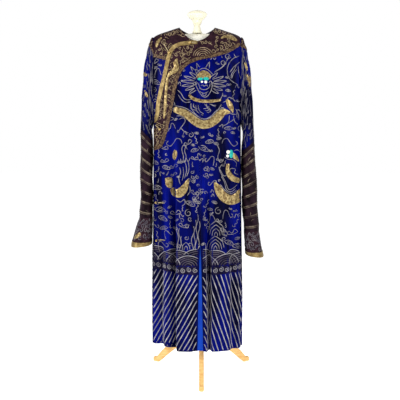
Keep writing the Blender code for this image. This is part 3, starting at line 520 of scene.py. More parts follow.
# the overlap hangs higher towards the side
def overlapHem(x):
    return robe["hem"] + robe["hemRiseOverlap"] * ease((robe["riseFrom"] - x) / robe["riseOver"])


p = overlapSheet["points"]
overlapSheet = cut(overlapSheet, p[:, 2] - overlapHem(p[:, 0]))

# materials: every one is a pattern of two colours with its own grain
materials = {}
grains = {
    "cells": ("ShaderNodeTexVoronoi", "Distance", ""), "noise": ("ShaderNodeTexNoise", "Fac", ""),
    "ribs": ("ShaderNodeTexWave", "Fac", "Z"), "twill": ("ShaderNodeTexWave", "Fac", "DIAGONAL"),
}


def newMaterial(name, dark, light, roughness=0.5, metallic=0.0, scale=40.0, stretch=(1, 1, 1),
                contrast=(0.3, 0.7), grain="noise", grainScale=400.0, bump=0.2, shine=0.12):
    material = bpy.data.materials.new(name)
    material.use_nodes = True
    nodes, links = material.node_tree.nodes, material.node_tree.links
    shader = nodes["Principled BSDF"]
    shader.inputs["Metallic"].default_value = metallic
    shader.inputs["Specular IOR Level"].default_value = shine
    place = nodes.new("ShaderNodeTexCoord")
    mapping = nodes.new("ShaderNodeMapping")
    mapping.inputs["Scale"].default_value = stretch
    links.new(place.outputs["Object"], mapping.inputs["Vector"])
    clouds = nodes.new("ShaderNodeTexNoise")
    clouds.inputs["Scale"].default_value = scale
    clouds.inputs["Detail"].default_value = 4.0
    links.new(mapping.outputs["Vector"], clouds.inputs["Vector"])
    ramp = nodes.new("ShaderNodeValToRGB")
    for element, position, colour in zip(ramp.color_ramp.elements, contrast, (dark, light)):
        element.position = position
        element.color = (*colour, 1)
    links.new(clouds.outputs["Fac"], ramp.inputs["Fac"])
    links.new(ramp.outputs["Color"], shader.inputs["Base Color"])
    rough = nodes.new("ShaderNodeMapRange")
    rough.inputs["To Min"].default_value = roughness + 0.08
    rough.inputs["To Max"].default_value = roughness - 0.08
    links.new(clouds.outputs["Fac"], rough.inputs["Value"])
    links.new(rough.outputs["Result"], shader.inputs["Roughness"])
    kind, height, direction = grains[grain]
    fine = nodes.new(kind)
    if direction:
        fine.bands_direction = direction
    fine.inputs["Scale"].default_value = grainScale
    links.new(place.outputs["Object"], fine.inputs["Vector"])
    relief = nodes.new("ShaderNodeBump")
    relief.inputs["Strength"].default_value = bump
    relief.inputs["Distance"].default_value = 0.001
    links.new(fine.outputs[height], relief.inputs["Height"])
    links.new(relief.outputs["Normal"], shader.inputs["Normal"])
    materials[name] = material
    return material


# painted fold shade: the satin's noise is stretched into tall vertical streaks running from near-black to
# blue, which stand in for the shade in the hanging folds over the satin's own blue
newMaterial("blueSatin", (0.0001, 0.0003, 0.013), (0.0004, 0.0034, 0.156), 0.42, scale=15.0,
            stretch=(1, 1, 0.26), contrast=(0.40, 0.68), grain="twill", grainScale=260.0, shine=0.025)
newMaterial("facingSilk", (0.008, 0.003, 0.006), (0.034, 0.013, 0.021), 0.6, scale=60.0, grainScale=500.0,
            shine=0.05)
newMaterial("brocade", (0.026, 0.013, 0.012), (0.148, 0.093, 0.048), 0.5, 0.15, scale=150.0,
            contrast=(0.40, 0.62), grain="cells", grainScale=260.0, bump=0.4)
newMaterial("bindingGold", (0.13, 0.080, 0.027), (0.34, 0.25, 0.10), 0.42, 0.35, scale=70.0, grain="twill",
            grainScale=180.0, bump=0.4)
newMaterial("goldThread", (0.095, 0.090, 0.128), (0.34, 0.315, 0.30), 0.42, 0.25, scale=60.0, grain="twill",
            grainScale=420.0, bump=0.5)
newMaterial("waterThread", (0.14, 0.134, 0.165), (0.46, 0.44, 0.45), 0.5, 0.15, scale=40.0, grain="twill",
            grainScale=420.0, bump=0.5)
newMaterial("waterFine", (0.036, 0.031, 0.052), (0.145, 0.13, 0.155), 0.55, 0.05, scale=30.0,
            grainScale=600.0)
newMaterial("bandThread", (0.035, 0.022, 0.022), (0.22, 0.175, 0.12), 0.5, 0.2, scale=34.0,
            contrast=(0.42, 0.66), grain="twill", grainScale=300.0)
newMaterial("laidGold", (0.12, 0.070, 0.026), (0.43, 0.33, 0.145), 0.40, 0.45, scale=120.0,
            contrast=(0.36, 0.64), grain="cells", grainScale=170.0, bump=0.7)
newMaterial("tealSilk", (0.0, 0.22, 0.19), (0.03, 0.52, 0.44), 0.4, scale=150.0)
newMaterial("whiteSilk", (0.62, 0.60, 0.52), (0.92, 0.91, 0.86), 0.5, scale=200.0)
newMaterial("darkSilk", (0.004, 0.003, 0.003), (0.02, 0.014, 0.012), 0.4, scale=200.0)
newMaterial("sleeveThread", (0.050, 0.048, 0.078), (0.20, 0.185, 0.19), 0.45, 0.2, scale=50.0, grain="twill",
            grainScale=420.0, bump=0.5)
newMaterial("facingThread", (0.15, 0.10, 0.055), (0.49, 0.38, 0.215), 0.42, 0.25, scale=60.0, grain="twill",
            grainScale=420.0, bump=0.5)
newMaterial("seaSilk", (0.001, 0.001, 0.008), (0.013, 0.009, 0.032), 0.55, scale=22.0, grain="twill",
            grainScale=500.0, shine=0.03)
newMaterial("seamThread", (0.0004, 0.0008, 0.02), (0.002, 0.004, 0.06), 0.6, scale=200.0, shine=0.05)
newMaterial("ribbedSilk", (0.002, 0.001, 0.002), (0.021, 0.0095, 0.017), 0.5, scale=34.0, stretch=(1, 1, 0.6),
            grain="ribs", grainScale=40.0, bump=0.6, shine=0.03)
newMaterial("liningSilk", (0.0, 0.035, 0.38), (0.002, 0.085, 0.68), 0.4, scale=20.0, stretch=(1, 1, 0.3),
            grain="twill", grainScale=300.0)
newMaterial("linen", (0.84, 0.81, 0.70), (0.94, 0.925, 0.83), 0.8, scale=90.0, grain="twill",
            grainScale=520.0, bump=0.3)
newMaterial("creamPaint", (0.78, 0.73, 0.53), (0.90, 0.865, 0.68), 0.35, scale=30.0, grainScale=200.0,
            bump=0.05)
newMaterial("pine", (0.66, 0.36, 0.11), (0.93, 0.60, 0.24), 0.42, scale=26.0, stretch=(1, 1, 6),
            grainScale=160.0, bump=0.12)
newMaterial("gilt", (0.42, 0.26, 0.07), (0.80, 0.60, 0.26), 0.30, 0.9, scale=220.0, grain="cells",
            grainScale=420.0)
newMaterial("loopCord", (0.26, 0.20, 0.10), (0.60, 0.49, 0.28), 0.45, 0.15, scale=200.0, grain="twill",
            grainScale=600.0)

pieces = {}


def addCloth(name, sheet, material, low, high, node):
    points, faces = thicken(sheet, low, high)
    piece = addMesh(name, points, faces, materials[material], 50.0)
    if node:
        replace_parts(piece, *node) if isinstance(node, tuple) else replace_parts(piece, node)
    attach(piece, "root")
    pieces[name] = piece
    return piece


half = robe["wall"] / 2
addCloth("leftLength", leftSheet, "blueSatin", -half, half, "left_length")
addCloth("rightLength", rightSheet, "blueSatin", -half, half, "right_length")
addCloth("overlapFront", overlapSheet, "blueSatin", -half, half, "overlap_front")

# collar facing, brocade border and gold binding on top of the panels
facing = {"low": 0.0007, "high": 0.0015, "trimLow": 0.0016, "trimHigh": 0.0028}


def aboveZero(sheet, field):
    return cut(sheet, field(sheet["points"]))


def between(sheet, field, low, high):
    sheet = cut(sheet, field(sheet["points"]) - low)
    return cut(sheet, high - field(sheet["points"]))


# the facing stops at the armhole
def withinReach(sheet):
    return cut(sheet, robe["facingReach"] + 0.003 - np.abs(sheet["points"][:, 0]))


facingLeft = withinReach(aboveZero(leftSheet, aboveFacing))
facingOverlap = aboveZero(shortOfSide(overlapSheet, 0.006), aboveFacing)
facingRight = withinReach(aboveZero(rightSheet, aboveShoulder))
p = facingRight["points"]
facingRight = cut(facingRight, np.maximum(-insideOverlap(p), p[:, 1] - robe["axisY"]) - 0.0008)
for name, sheet, node in (
    ("facingLeft", facingLeft, "facing_left"),
    ("facingOverlap", facingOverlap, "facing_overlap"),
    ("facingRight", facingRight, "facing_right"),
):
    addCloth(name, sheet, "facingSilk", facing["low"], facing["high"], node)

for name, sheet, field, nodes in (
    ("borderLeft", facingLeft, aboveFacing, ("border_front_left", "border_back_left")),
    ("borderOverlap", facingOverlap, aboveFacing, ("border_overlap",)),
    ("borderRight", facingRight, aboveShoulder, ("border_front_right", "border_back_right")),
):
    addCloth(name, between(sheet, field, 0.0003, robe["borderWidth"]), "brocade", facing["trimLow"],
             facing["trimHigh"], nodes)

bindingSheet = between(shortOfSide(overlapAll, 0.001), insideOverlap, 0.0, robe["bindingWidth"] + 0.0035)
addCloth("overlapBinding", bindingSheet, "bindingGold", facing["trimLow"], facing["trimHigh"] + 0.0006,
         "overlap_binding")
say("body panels, facing and trims made")

# sleeves: inside and outside edges, half depth and heights at the end of the upper sleeve
sleeveEnds = {
    "Right": {"inner": 0.1905, "outer": 0.2410, "deep": 0.066, "zInner": 1.030, "zOuter": 1.080},
    "Left": {"inner": 0.1905, "outer": 0.2440, "deep": 0.066, "zInner": 0.985, "zOuter": 1.030},
}
lowerSleeves = {
    "Right": {"end": 0.700, "rings": (
        (0.0, 0.1905, 0.2410, 0.066), (0.25, 0.1915, 0.2420, 0.065), (0.5, 0.1925, 0.2430, 0.064),
        (0.75, 0.1935, 0.2440, 0.063), (1.0, 0.1945, 0.2500, 0.062))},
    "Left": {"end": 0.640, "rings": (
        (0.0, 0.1905, 0.2440, 0.066), (0.25, 0.1915, 0.2505, 0.065), (0.5, 0.1932, 0.2555, 0.064),
        (0.75, 0.1970, 0.2615, 0.063), (1.0, 0.2045, 0.2685, 0.062))},
}
cuffTables = {
    "Right": {"top": 0.700, "rings": (
        (0.0, 0.1945, 0.2500, 0.062), (0.035, 0.1950, 0.2625, 0.066),
        (0.075, 0.1965, 0.2750, 0.071), (0.120, 0.1990, 0.2865, 0.076))},
    "Left": {"top": 0.640, "rings": (
        (0.0, 0.2045, 0.2685, 0.062), (0.035, 0.2060, 0.2735, 0.066),
        (0.072, 0.2085, 0.2805, 0.071), (0.104, 0.2110, 0.2880, 0.076))},
}


def endRings(side, angles, inner, outer, deep, zInner, zOuter):
    sign = sideOf(side)
    across, along = np.cos(angles), np.sin(angles)
    wide = np.sign(across) * np.abs(across) ** 0.8
    x = mix(inner, outer, 0.5 * (1 + wide))
    z = mix(zInner, zOuter, 0.5 * (1 + wide))
    y = robe["axisY"] + np.sign(along) * np.abs(along) ** 0.8 * deep
    return np.stack([sign * x, y, z], axis=-1)


def ringStack(side, angles, table, places, inner, outer):
    return np.array([endRings(side, angles, *(tableValue(table, s, k) for k in (1, 2, 3)), a, b)
                     for s, a, b in zip(places, inner, outer)])


def sleeveGrids(side, grid, normals):
    sign = sideOf(side)
    ends = sleeveEnds[side]
    skirt = len(skirtHeights)
    loop = grid[skirt:len(grid) - skirt, -1] + normals[skirt:len(grid) - skirt, -1] * (robe["layer"] + 0.0003)
    first = (loop[0] + loop[-1]) / 2
    loop = loop[:-1].copy()
    loop[0] = first
    n = len(loop)
    # each point's angle follows its place round the loop
    shareOf = np.linspace(0, 1, n + 1)[:-1]
    angles = math.pi * (1 + 2 * shareOf)
    finish = endRings(side, angles, ends["inner"], ends["outer"], ends["deep"], ends["zInner"],
                      ends["zOuter"])
    ts = np.linspace(0, 1, 46)[:, None, None]
    height = (loop[:, 2] - robe["underarm"]) / (1.46 - robe["underarm"])
    middle = np.stack([loop[:, 0] + sign * (0.020 + 0.014 * ease(height)),
                       mix(loop[:, 1], finish[:, 1], 0.35),
                       loop[:, 2] - 0.010 - 0.040 * (1 - height)], axis=-1)
    upper = loop[None] * (1 - ts) ** 2 + middle[None] * (2 * ts * (1 - ts)) + finish[None] * ts * ts
    table, cuffTable = lowerSleeves[side], cuffTables[side]
    shares = np.linspace(0, 1, 150)
    seam = 0.0004
    lower = ringStack(side, angles, table["rings"], shares,
                      mix(ends["zInner"], table["end"], shares) - seam * (1 - shares),
                      mix(ends["zOuter"], table["end"], shares) - seam * (1 - shares))
    deepest = cuffTable["rings"][-1][0]
    downs = np.linspace(0, deepest, 40)
    z = cuffTable["top"] - downs - seam
    return upper, lower, ringStack(side, angles, cuffTable["rings"], downs, z,
                                   z - 0.010 * downs / deepest), shares


def ringNormals(grid, sign):
    around = np.roll(grid, -1, axis=1) - np.roll(grid, 1, axis=1)
    return unit(np.cross(around, np.gradient(grid, axis=0)) * sign)


sleeveShapes = {}
# where the yoke ends on the sleeve head, and how that edge climbs outwards
yokes = {"Left": (1.419, -0.35), "Right": (1.377, 1.9)}


def aboveYoke(sheet, side):
    start, rise = yokes[side]
    p = sheet["points"]
    return p[:, 2] - start - rise * (np.abs(p[:, 0]) - robe["facingReach"])


for side, grid, normals in (("Left", leftGrid, leftNormals), ("Right", rightGrid, rightNormals)):
    upper, lower, cuff, shares = sleeveGrids(side, grid, normals)
    turn = -sideOf(side)
    n = upper.shape[1]
    angle = 2 * math.pi * np.arange(n) / n
    nu = ringNormals(upper, turn)
    nl = ringNormals(lower, turn)
    nc = ringNormals(cuff, turn)
    # the upper sleeve sags in soft diagonal folds, the lower one is ribbed round
    t = np.linspace(0, 1, len(upper))[:, None]
    sag = np.sin(math.pi * t) ** 0.8
    wave = 0.0030 * np.sin(5 * angle[None] + 9 * t) + 0.0022 * np.sin(9 * angle[None] - 14 * t + 1.0)
    upper = upper + nu * (sag * wave)[..., None]
    s = shares[:, None]
    ribs = 0.0011 * np.abs(np.sin(math.pi * s * 46)) - 0.0007
    slack = 0.0022 * np.sin(3 * angle[None] + 11 * s) * np.sin(math.pi * s)
    lower = lower + nl * (ribs * np.ones_like(angle[None]) + slack)[..., None]
    nu, nl = ringNormals(upper, turn), ringNormals(lower, turn)
    lowSide = side.lower()
    # the facing silk and its border run on over the sleeve head
    head = gridSheet(upper, nu, closed=True, flip=(side == "Left"))
    head = cut(head, aboveYoke(head, side))
    addCloth("yoke" + side, head, "facingSilk", half + 0.0001, half + 0.0010, None)
    edge = cut(head, robe["borderWidth"] - aboveYoke(head, side))
    addCloth("yokeEdge" + side, edge, "brocade", half + 0.0011, half + 0.0021, None)
    for name, g, nn, material, node, slot in (
        ("upperSleeve" + side, upper, nu, "blueSatin", "upper_sleeve_" + lowSide, "blue_satin"),
        ("lowerSleeve" + side, lower, nl, "ribbedSilk", "lower_sleeve_" + lowSide, "ribbed_silk"),
        ("cuff" + side, cuff, nc, "facingSilk", "cuff_" + lowSide, "facing_silk"),
    ):
        sheet = gridSheet(g, nn, closed=True, flip=(side == "Left"))
        addCloth(name, sheet, material, -half, half, node)
        if name.startswith("cuff"):
            z = sheet["points"][:, 2]
            edge = cut(sheet, z.min() + 0.024 - z)
            addCloth("cuffEdge" + side, edge, "bindingGold", 0.0007, 0.0021, "cuff_edge_" + lowSide)
    sleeveShapes[side] = {"upper": (upper, nu), "lower": (lower, nl), "cuff": (cuff, nc)}
say("sleeves and cuffs made")

# lining strip in the open slit
lining = {"half": 0.0170, "rows": 60}
zs = np.linspace(robe["hem"], robe["slitTop"] - 0.010, lining["rows"])
behind = np.maximum(bodyPoints("frontRight", np.zeros(len(zs)), zs)[:, 1],
                    bodyPoints("frontLeft", np.zeros(len(zs)), zs)[:, 1])
middle = centreShift("frontLeft", zs)
across = np.linspace(-1, 1, 9)
strip = np.stack([middle[:, None] + lining["half"] * across[None], (behind + robe["layer"] + 0.0020)[:, None]
                  + 0.0012 * np.cos(across * 2.2)[None] * ease((0.44 - zs) / 0.2)[:, None],
                  zs[:, None] + 0 * across[None]], axis=-1)
addCloth("slitLining", gridSheet(strip, gridNormals(strip, 1.0)), "liningSilk", -half, half, "slit_lining")

# the photograph's view, also used to place the needlework: positions in it are
# across and down in a frame of 400 by 400, cast onto the cloth that lies there
view = {"distance": 3.2, "height": 1.2, "pitch": 7.68, "side": 0.012, "fieldOfView": 30.1, "frame": 400}


# the outer cloth as one tree that says which piece a ray meets
class Surface:
    def __init__(self, names):
        points, faces, self.owner = [], [], []
        for name in names:
            mesh = pieces[name].data
            co = np.empty(len(mesh.vertices) * 3, dtype=np.float32)
            mesh.vertices.foreach_get("co", co)
            start = len(points)
            points += co.reshape(-1, 3).tolist()
            corners = [tuple(start + k for k in face.vertices) for face in mesh.polygons]
            faces += corners
            self.owner += [name] * len(corners)
        self.tree = BVHTree.FromPolygons(points, faces)

    def cast(self, start, direction, onto):
        hit, normal, index, _ = self.tree.ray_cast(Vector(start), Vector(direction))
        if hit is None or self.owner[index] not in onto:
            return None
        if normal.dot(Vector(direction)) > -0.12:
            return None
        return hit, normal


bodyNames = ["leftLength", "rightLength", "overlapFront"]
collarNames = ["facingLeft", "facingOverlap", "facingRight", "yokeLeft", "yokeRight"]
trimNames = ["borderLeft", "borderOverlap", "borderRight", "overlapBinding"]
sleeveNames = [n + s for s in ("Left", "Right") for n in ("upperSleeve", "lowerSleeve", "cuff", "cuffEdge")]
surface = Surface(bodyNames + collarNames + trimNames + sleeveNames)
pitch = math.radians(view["pitch"])
focus = view["frame"] / 2 / math.tan(math.radians(view["fieldOfView"] / 2))


# place on the cloth behind a place in the view, or its mirror seen from behind
def castFrom(across, down, onto, behind=False):
    half = view["frame"] / 2
    a, b = (across - half) / focus, (half - down) / focus
    forward = Vector((a, math.cos(pitch) + b * math.sin(pitch), -math.sin(pitch) + b * math.cos(pitch)))
    start = Vector((view["side"], robe["axisY"] - view["distance"], view["height"]))
    if behind:
        forward = Vector((-forward.x, -forward.y, forward.z))
        start = Vector((-view["side"], robe["axisY"] + view["distance"], view["height"]))
    return surface.cast(start, forward, onto)


threads = {}
thread = {"width": 0.0031, "height": 0.0009, "step": 0.85, "gap": 0.016, "facet": 0.020}
# how wide each thread is laid, as a share of the drawn width
laidWidth = {"goldThread": 0.82, "waterThread": 0.84, "waterFine": 0.90, "sleeveThread": 0.85,
             "facingThread": 0.88}


def keepThread(store, points, corners):
    vertices, faces, total = threads.setdefault(store, ([], [], [0]))
    vertices.append(points)
    faces.append(corners + total[0])
    total[0] += len(points)


# a couched thread: a low ridge along points on the cloth
def addRibbon(store, points, normals, width, height):
    n = len(points)
    points, normals = np.array(points), np.array(normals)
    along = np.gradient(points, axis=0)
    side = np.cross(along, normals)
    side /= np.maximum(np.linalg.norm(side, axis=1, keepdims=True), 1e-9)
    taper = np.minimum(1.0, 0.45 + 0.35 * np.minimum(np.arange(n), np.arange(n)[::-1]))[:, None]
    edge = side * (width * laidWidth.get(store, 1.0) / 2) * taper
    ring = np.stack([points + edge, points + edge * 0.45 + normals * height,
                     points - edge * 0.45 + normals * height, points - edge], axis=1)
    base = np.arange(n - 1)[:, None] * 4
    quads = np.concatenate([base + np.array([k, k + 1, k + 5, k + 4]) for k in range(3)])
    keepThread(store, ring.reshape(-1, 3), quads)


def resample(path, step):
    p = np.array(path, dtype=float)
    length = np.concatenate([[0], np.cumsum(np.hypot(*np.diff(p, axis=0).T))])
    count = max(int(length[-1] / step), 2)
    at = np.linspace(0, length[-1], count + 1)
    return np.stack([np.interp(at, length, p[:, k]) for k in (0, 1)], axis=1)


# draws a path of the view on the cloth, broken where the cloth folds away
def stitch(path, store, onto, width=thread["width"], height=thread["height"], smooth=True, behind=False,
           step=thread["step"]):
    if smooth and len(path) > 2:
        path = smoothPath(path, 5)
    runs = [[]]
    for across, down in resample(path, step):
        found = castFrom(across, down, onto, behind)
        if found is None or (runs[-1] and (found[0] - runs[-1][-1][0]).length > thread["gap"]):
            runs.append([])
        if found is not None:
            runs[-1].append(found)
    for run in runs:
        if len(run) > 1:
            addRibbon(store, [spot for spot, _ in run], [normal for _, normal in run], width, height)


# laid gold inside an outline of the view, in small facets that follow the cloth
def fillShape(outline, store, onto, lift=0.0012, smooth=True, behind=False, grain=1.3):
    if smooth:
        outline = smoothPath(list(outline) + [outline[0]], 4)[:-1]
    border = [Vector(q) for q in resample(list(outline) + [outline[0]], 1.1)[:-1]]
    left, right = min(q.x for q in border), max(q.x for q in border)
    top, bottom = min(q.y for q in border), max(q.y for q in border)
    inner = []
    for j in range(int((bottom - top) / grain) + 1):
        for i in range(int((right - left) / grain) + 1):
            q = Vector((left + (i + 0.5 * (j % 2)) * grain, top + j * grain))
            if min((q - b).length for b in border) > grain * 0.45:
                inner.append(q)
    flat, _, faces, _, _, _ = delaunay_2d_cdt(border + inner, [], [list(range(len(border)))], 1, 1e-4)
    count = len(border)
    places = []
    for k, q in enumerate(flat):
        found = castFrom(q.x, q.y, onto, behind)
        raised = lift * (0.15 if k < count else 1.0 + 0.12 * math.sin(3.1 * q.x) * math.sin(2.7 * q.y))
        places.append(None if found is None else found[0] + found[1] * raised)
    outward = Vector((0, 1 if behind else -1, 0))
    kept = []
    for face in faces:
        if all(places[k] is not None for k in face):
            a, b, c = (places[k] for k in face)
            if max((a - b).length, (b - c).length, (c - a).length) < thread["facet"]:
                kept.append(list(face)[::-1] if (b - a).cross(c - a).dot(outward) < 0 else list(face))
    if not kept:
        return
    used = sorted({k for face in kept for k in face})
    index = {k: n for n, k in enumerate(used)}
    keepThread(store, np.array([places[k] for k in used]),
               np.array([[index[k] for k in face] for face in kept]))


# outline of a band from rows of across, down and half width
def bandOutline(rows):
    p = np.array(rows, dtype=float)
    along = np.gradient(p[:, :2], axis=0)
    side = np.stack([-along[:, 1], along[:, 0]], axis=1)
    side /= np.linalg.norm(side, axis=1, keepdims=True)
    upper = p[:, :2] + side * p[:, 2:]
    lower = p[:, :2] - side * p[:, 2:]
    return [tuple(q) for q in upper] + [tuple(q) for q in lower[::-1]], upper, lower


def ellipse(x, y, wide, high):
    return [(x + wide * math.cos(a), y + high * math.sin(a)) for a in np.linspace(0, 2 * math.pi, 9)[:-1]]


# a spiral that winds in
def curl(across, down, radius, turns=1.4, start=0.0, way=1):
    out = []
    for k in range(int(turns * 9) + 1):
        t = k / (turns * 9)
        angle = start + way * turns * 2 * math.pi * t
        r = radius * (1 - 0.80 * t)
        out.append((across + r * math.cos(angle), down + r * math.sin(angle)))
    return out


def turnPath(path, across, down, size, tilt, mirror=1):
    c, s = math.cos(tilt), math.sin(tilt)
    return [(across + size * (mirror * x * c - y * s), down + size * (mirror * x * s + y * c)) for x,
            y in path]


# small motifs in units of their own size
motifs = {
    "lozenge": ((-1.0, 0.1), (-0.55, -0.33), (0.0, -0.42), (0.5, -0.25), (1.0, 0.12), (0.45, 0.36),
                (-0.1, 0.42), (-0.6, 0.33), (-1.0, 0.1)),
    "lozengeInner": ((-0.45, 0.05), (0.0, -0.18), (0.42, 0.04), (0.0, 0.2), (-0.45, 0.05)),
    "wave": ((-1.0, 0.15), (-0.7, -0.3), (-0.35, -0.32), (-0.05, 0.12), (0.25, 0.16), (0.6, -0.25),
             (1.0, 0.2), (0.5, 0.38), (-0.2, 0.42), (-1.0, 0.15)),
    "hook": ((-0.9, 0.7), (-0.75, -0.1), (-0.45, -0.8), (0.0, -0.75), (0.2, -0.2), (0.45, 0.45), (0.8, 0.35),
             (0.85, -0.05), (0.6, -0.1)),
    "streamer": ((-0.2, -1.0), (0.1, -0.55), (-0.2, -0.1), (0.15, 0.35), (-0.1, 0.75), (0.35, 0.95),
                 (0.55, 0.65)),
}


# takes a place for a motif unless another is too near; on a sleeve the distance goes round
def claim(taken, x, y, reach, girth=1e6):
    for a, b, c in taken:
        if min(abs(x - a), girth - abs(x - a)) ** 2 + (y - b) ** 2 < (reach + c) ** 2:
            return False
    taken.append((x, y, reach))
    return True


# clouds and streamers over what the large motifs leave free
def scatterMotifs(area, count, onto, seed, taken, behind, size):
    draw = random.Random(seed)
    left, top, right, bottom = area
    placed = 0
    for _ in range(count * 40):
        if placed >= count:
            break
        x, y = draw.uniform(left, right), draw.uniform(top, bottom)
        r = draw.uniform(*size)
        if not claim(taken, x, y, r * 0.86):
            continue
        placed += 1
        kind = draw.choice(("lozenge", "lozenge", "wave", "hook", "streamer", "curl"))
        tilt, mirror = draw.uniform(-0.5, 0.5), draw.choice((-1, 1))
        if kind == "curl":
            path = curl(x, y, r * 0.7, 1.3, tilt * 4, mirror)
        else:
            path = turnPath(motifs[kind], x, y, r, tilt, mirror)
        stitch(path, "goldThread", onto, behind=behind)
        if kind == "lozenge":
            inner = turnPath(motifs["lozengeInner"], x, y, r, tilt, mirror)
            stitch(inner, "goldThread", onto, 0.0028, behind=behind)


def eye(x, y, radius, onto, behind, at, lift, pupil, aside=(0.0, 0.0)):
    ring = ellipse(x, y, radius, radius)
    fillShape(at(ring), "eyeWhite", onto, lift, behind=behind, grain=0.7)
    fillShape(at([(x + aside[0] + (a - x) * pupil, y + aside[1] + (b - y) * pupil) for a, b in ring]),
              "pupil",
              onto, lift + 0.0006, behind=behind, grain=0.5)


def laidBand(rows, onto, lift=0.0012, behind=False, grain=1.3, at=list):
    outline, upper, lower = bandOutline(rows)
    fillShape(at(outline), "laidGold", onto, lift, behind=behind, grain=grain)
    middle = len(rows) // 2
    return lower if lower[middle][1] < upper[middle][1] else upper


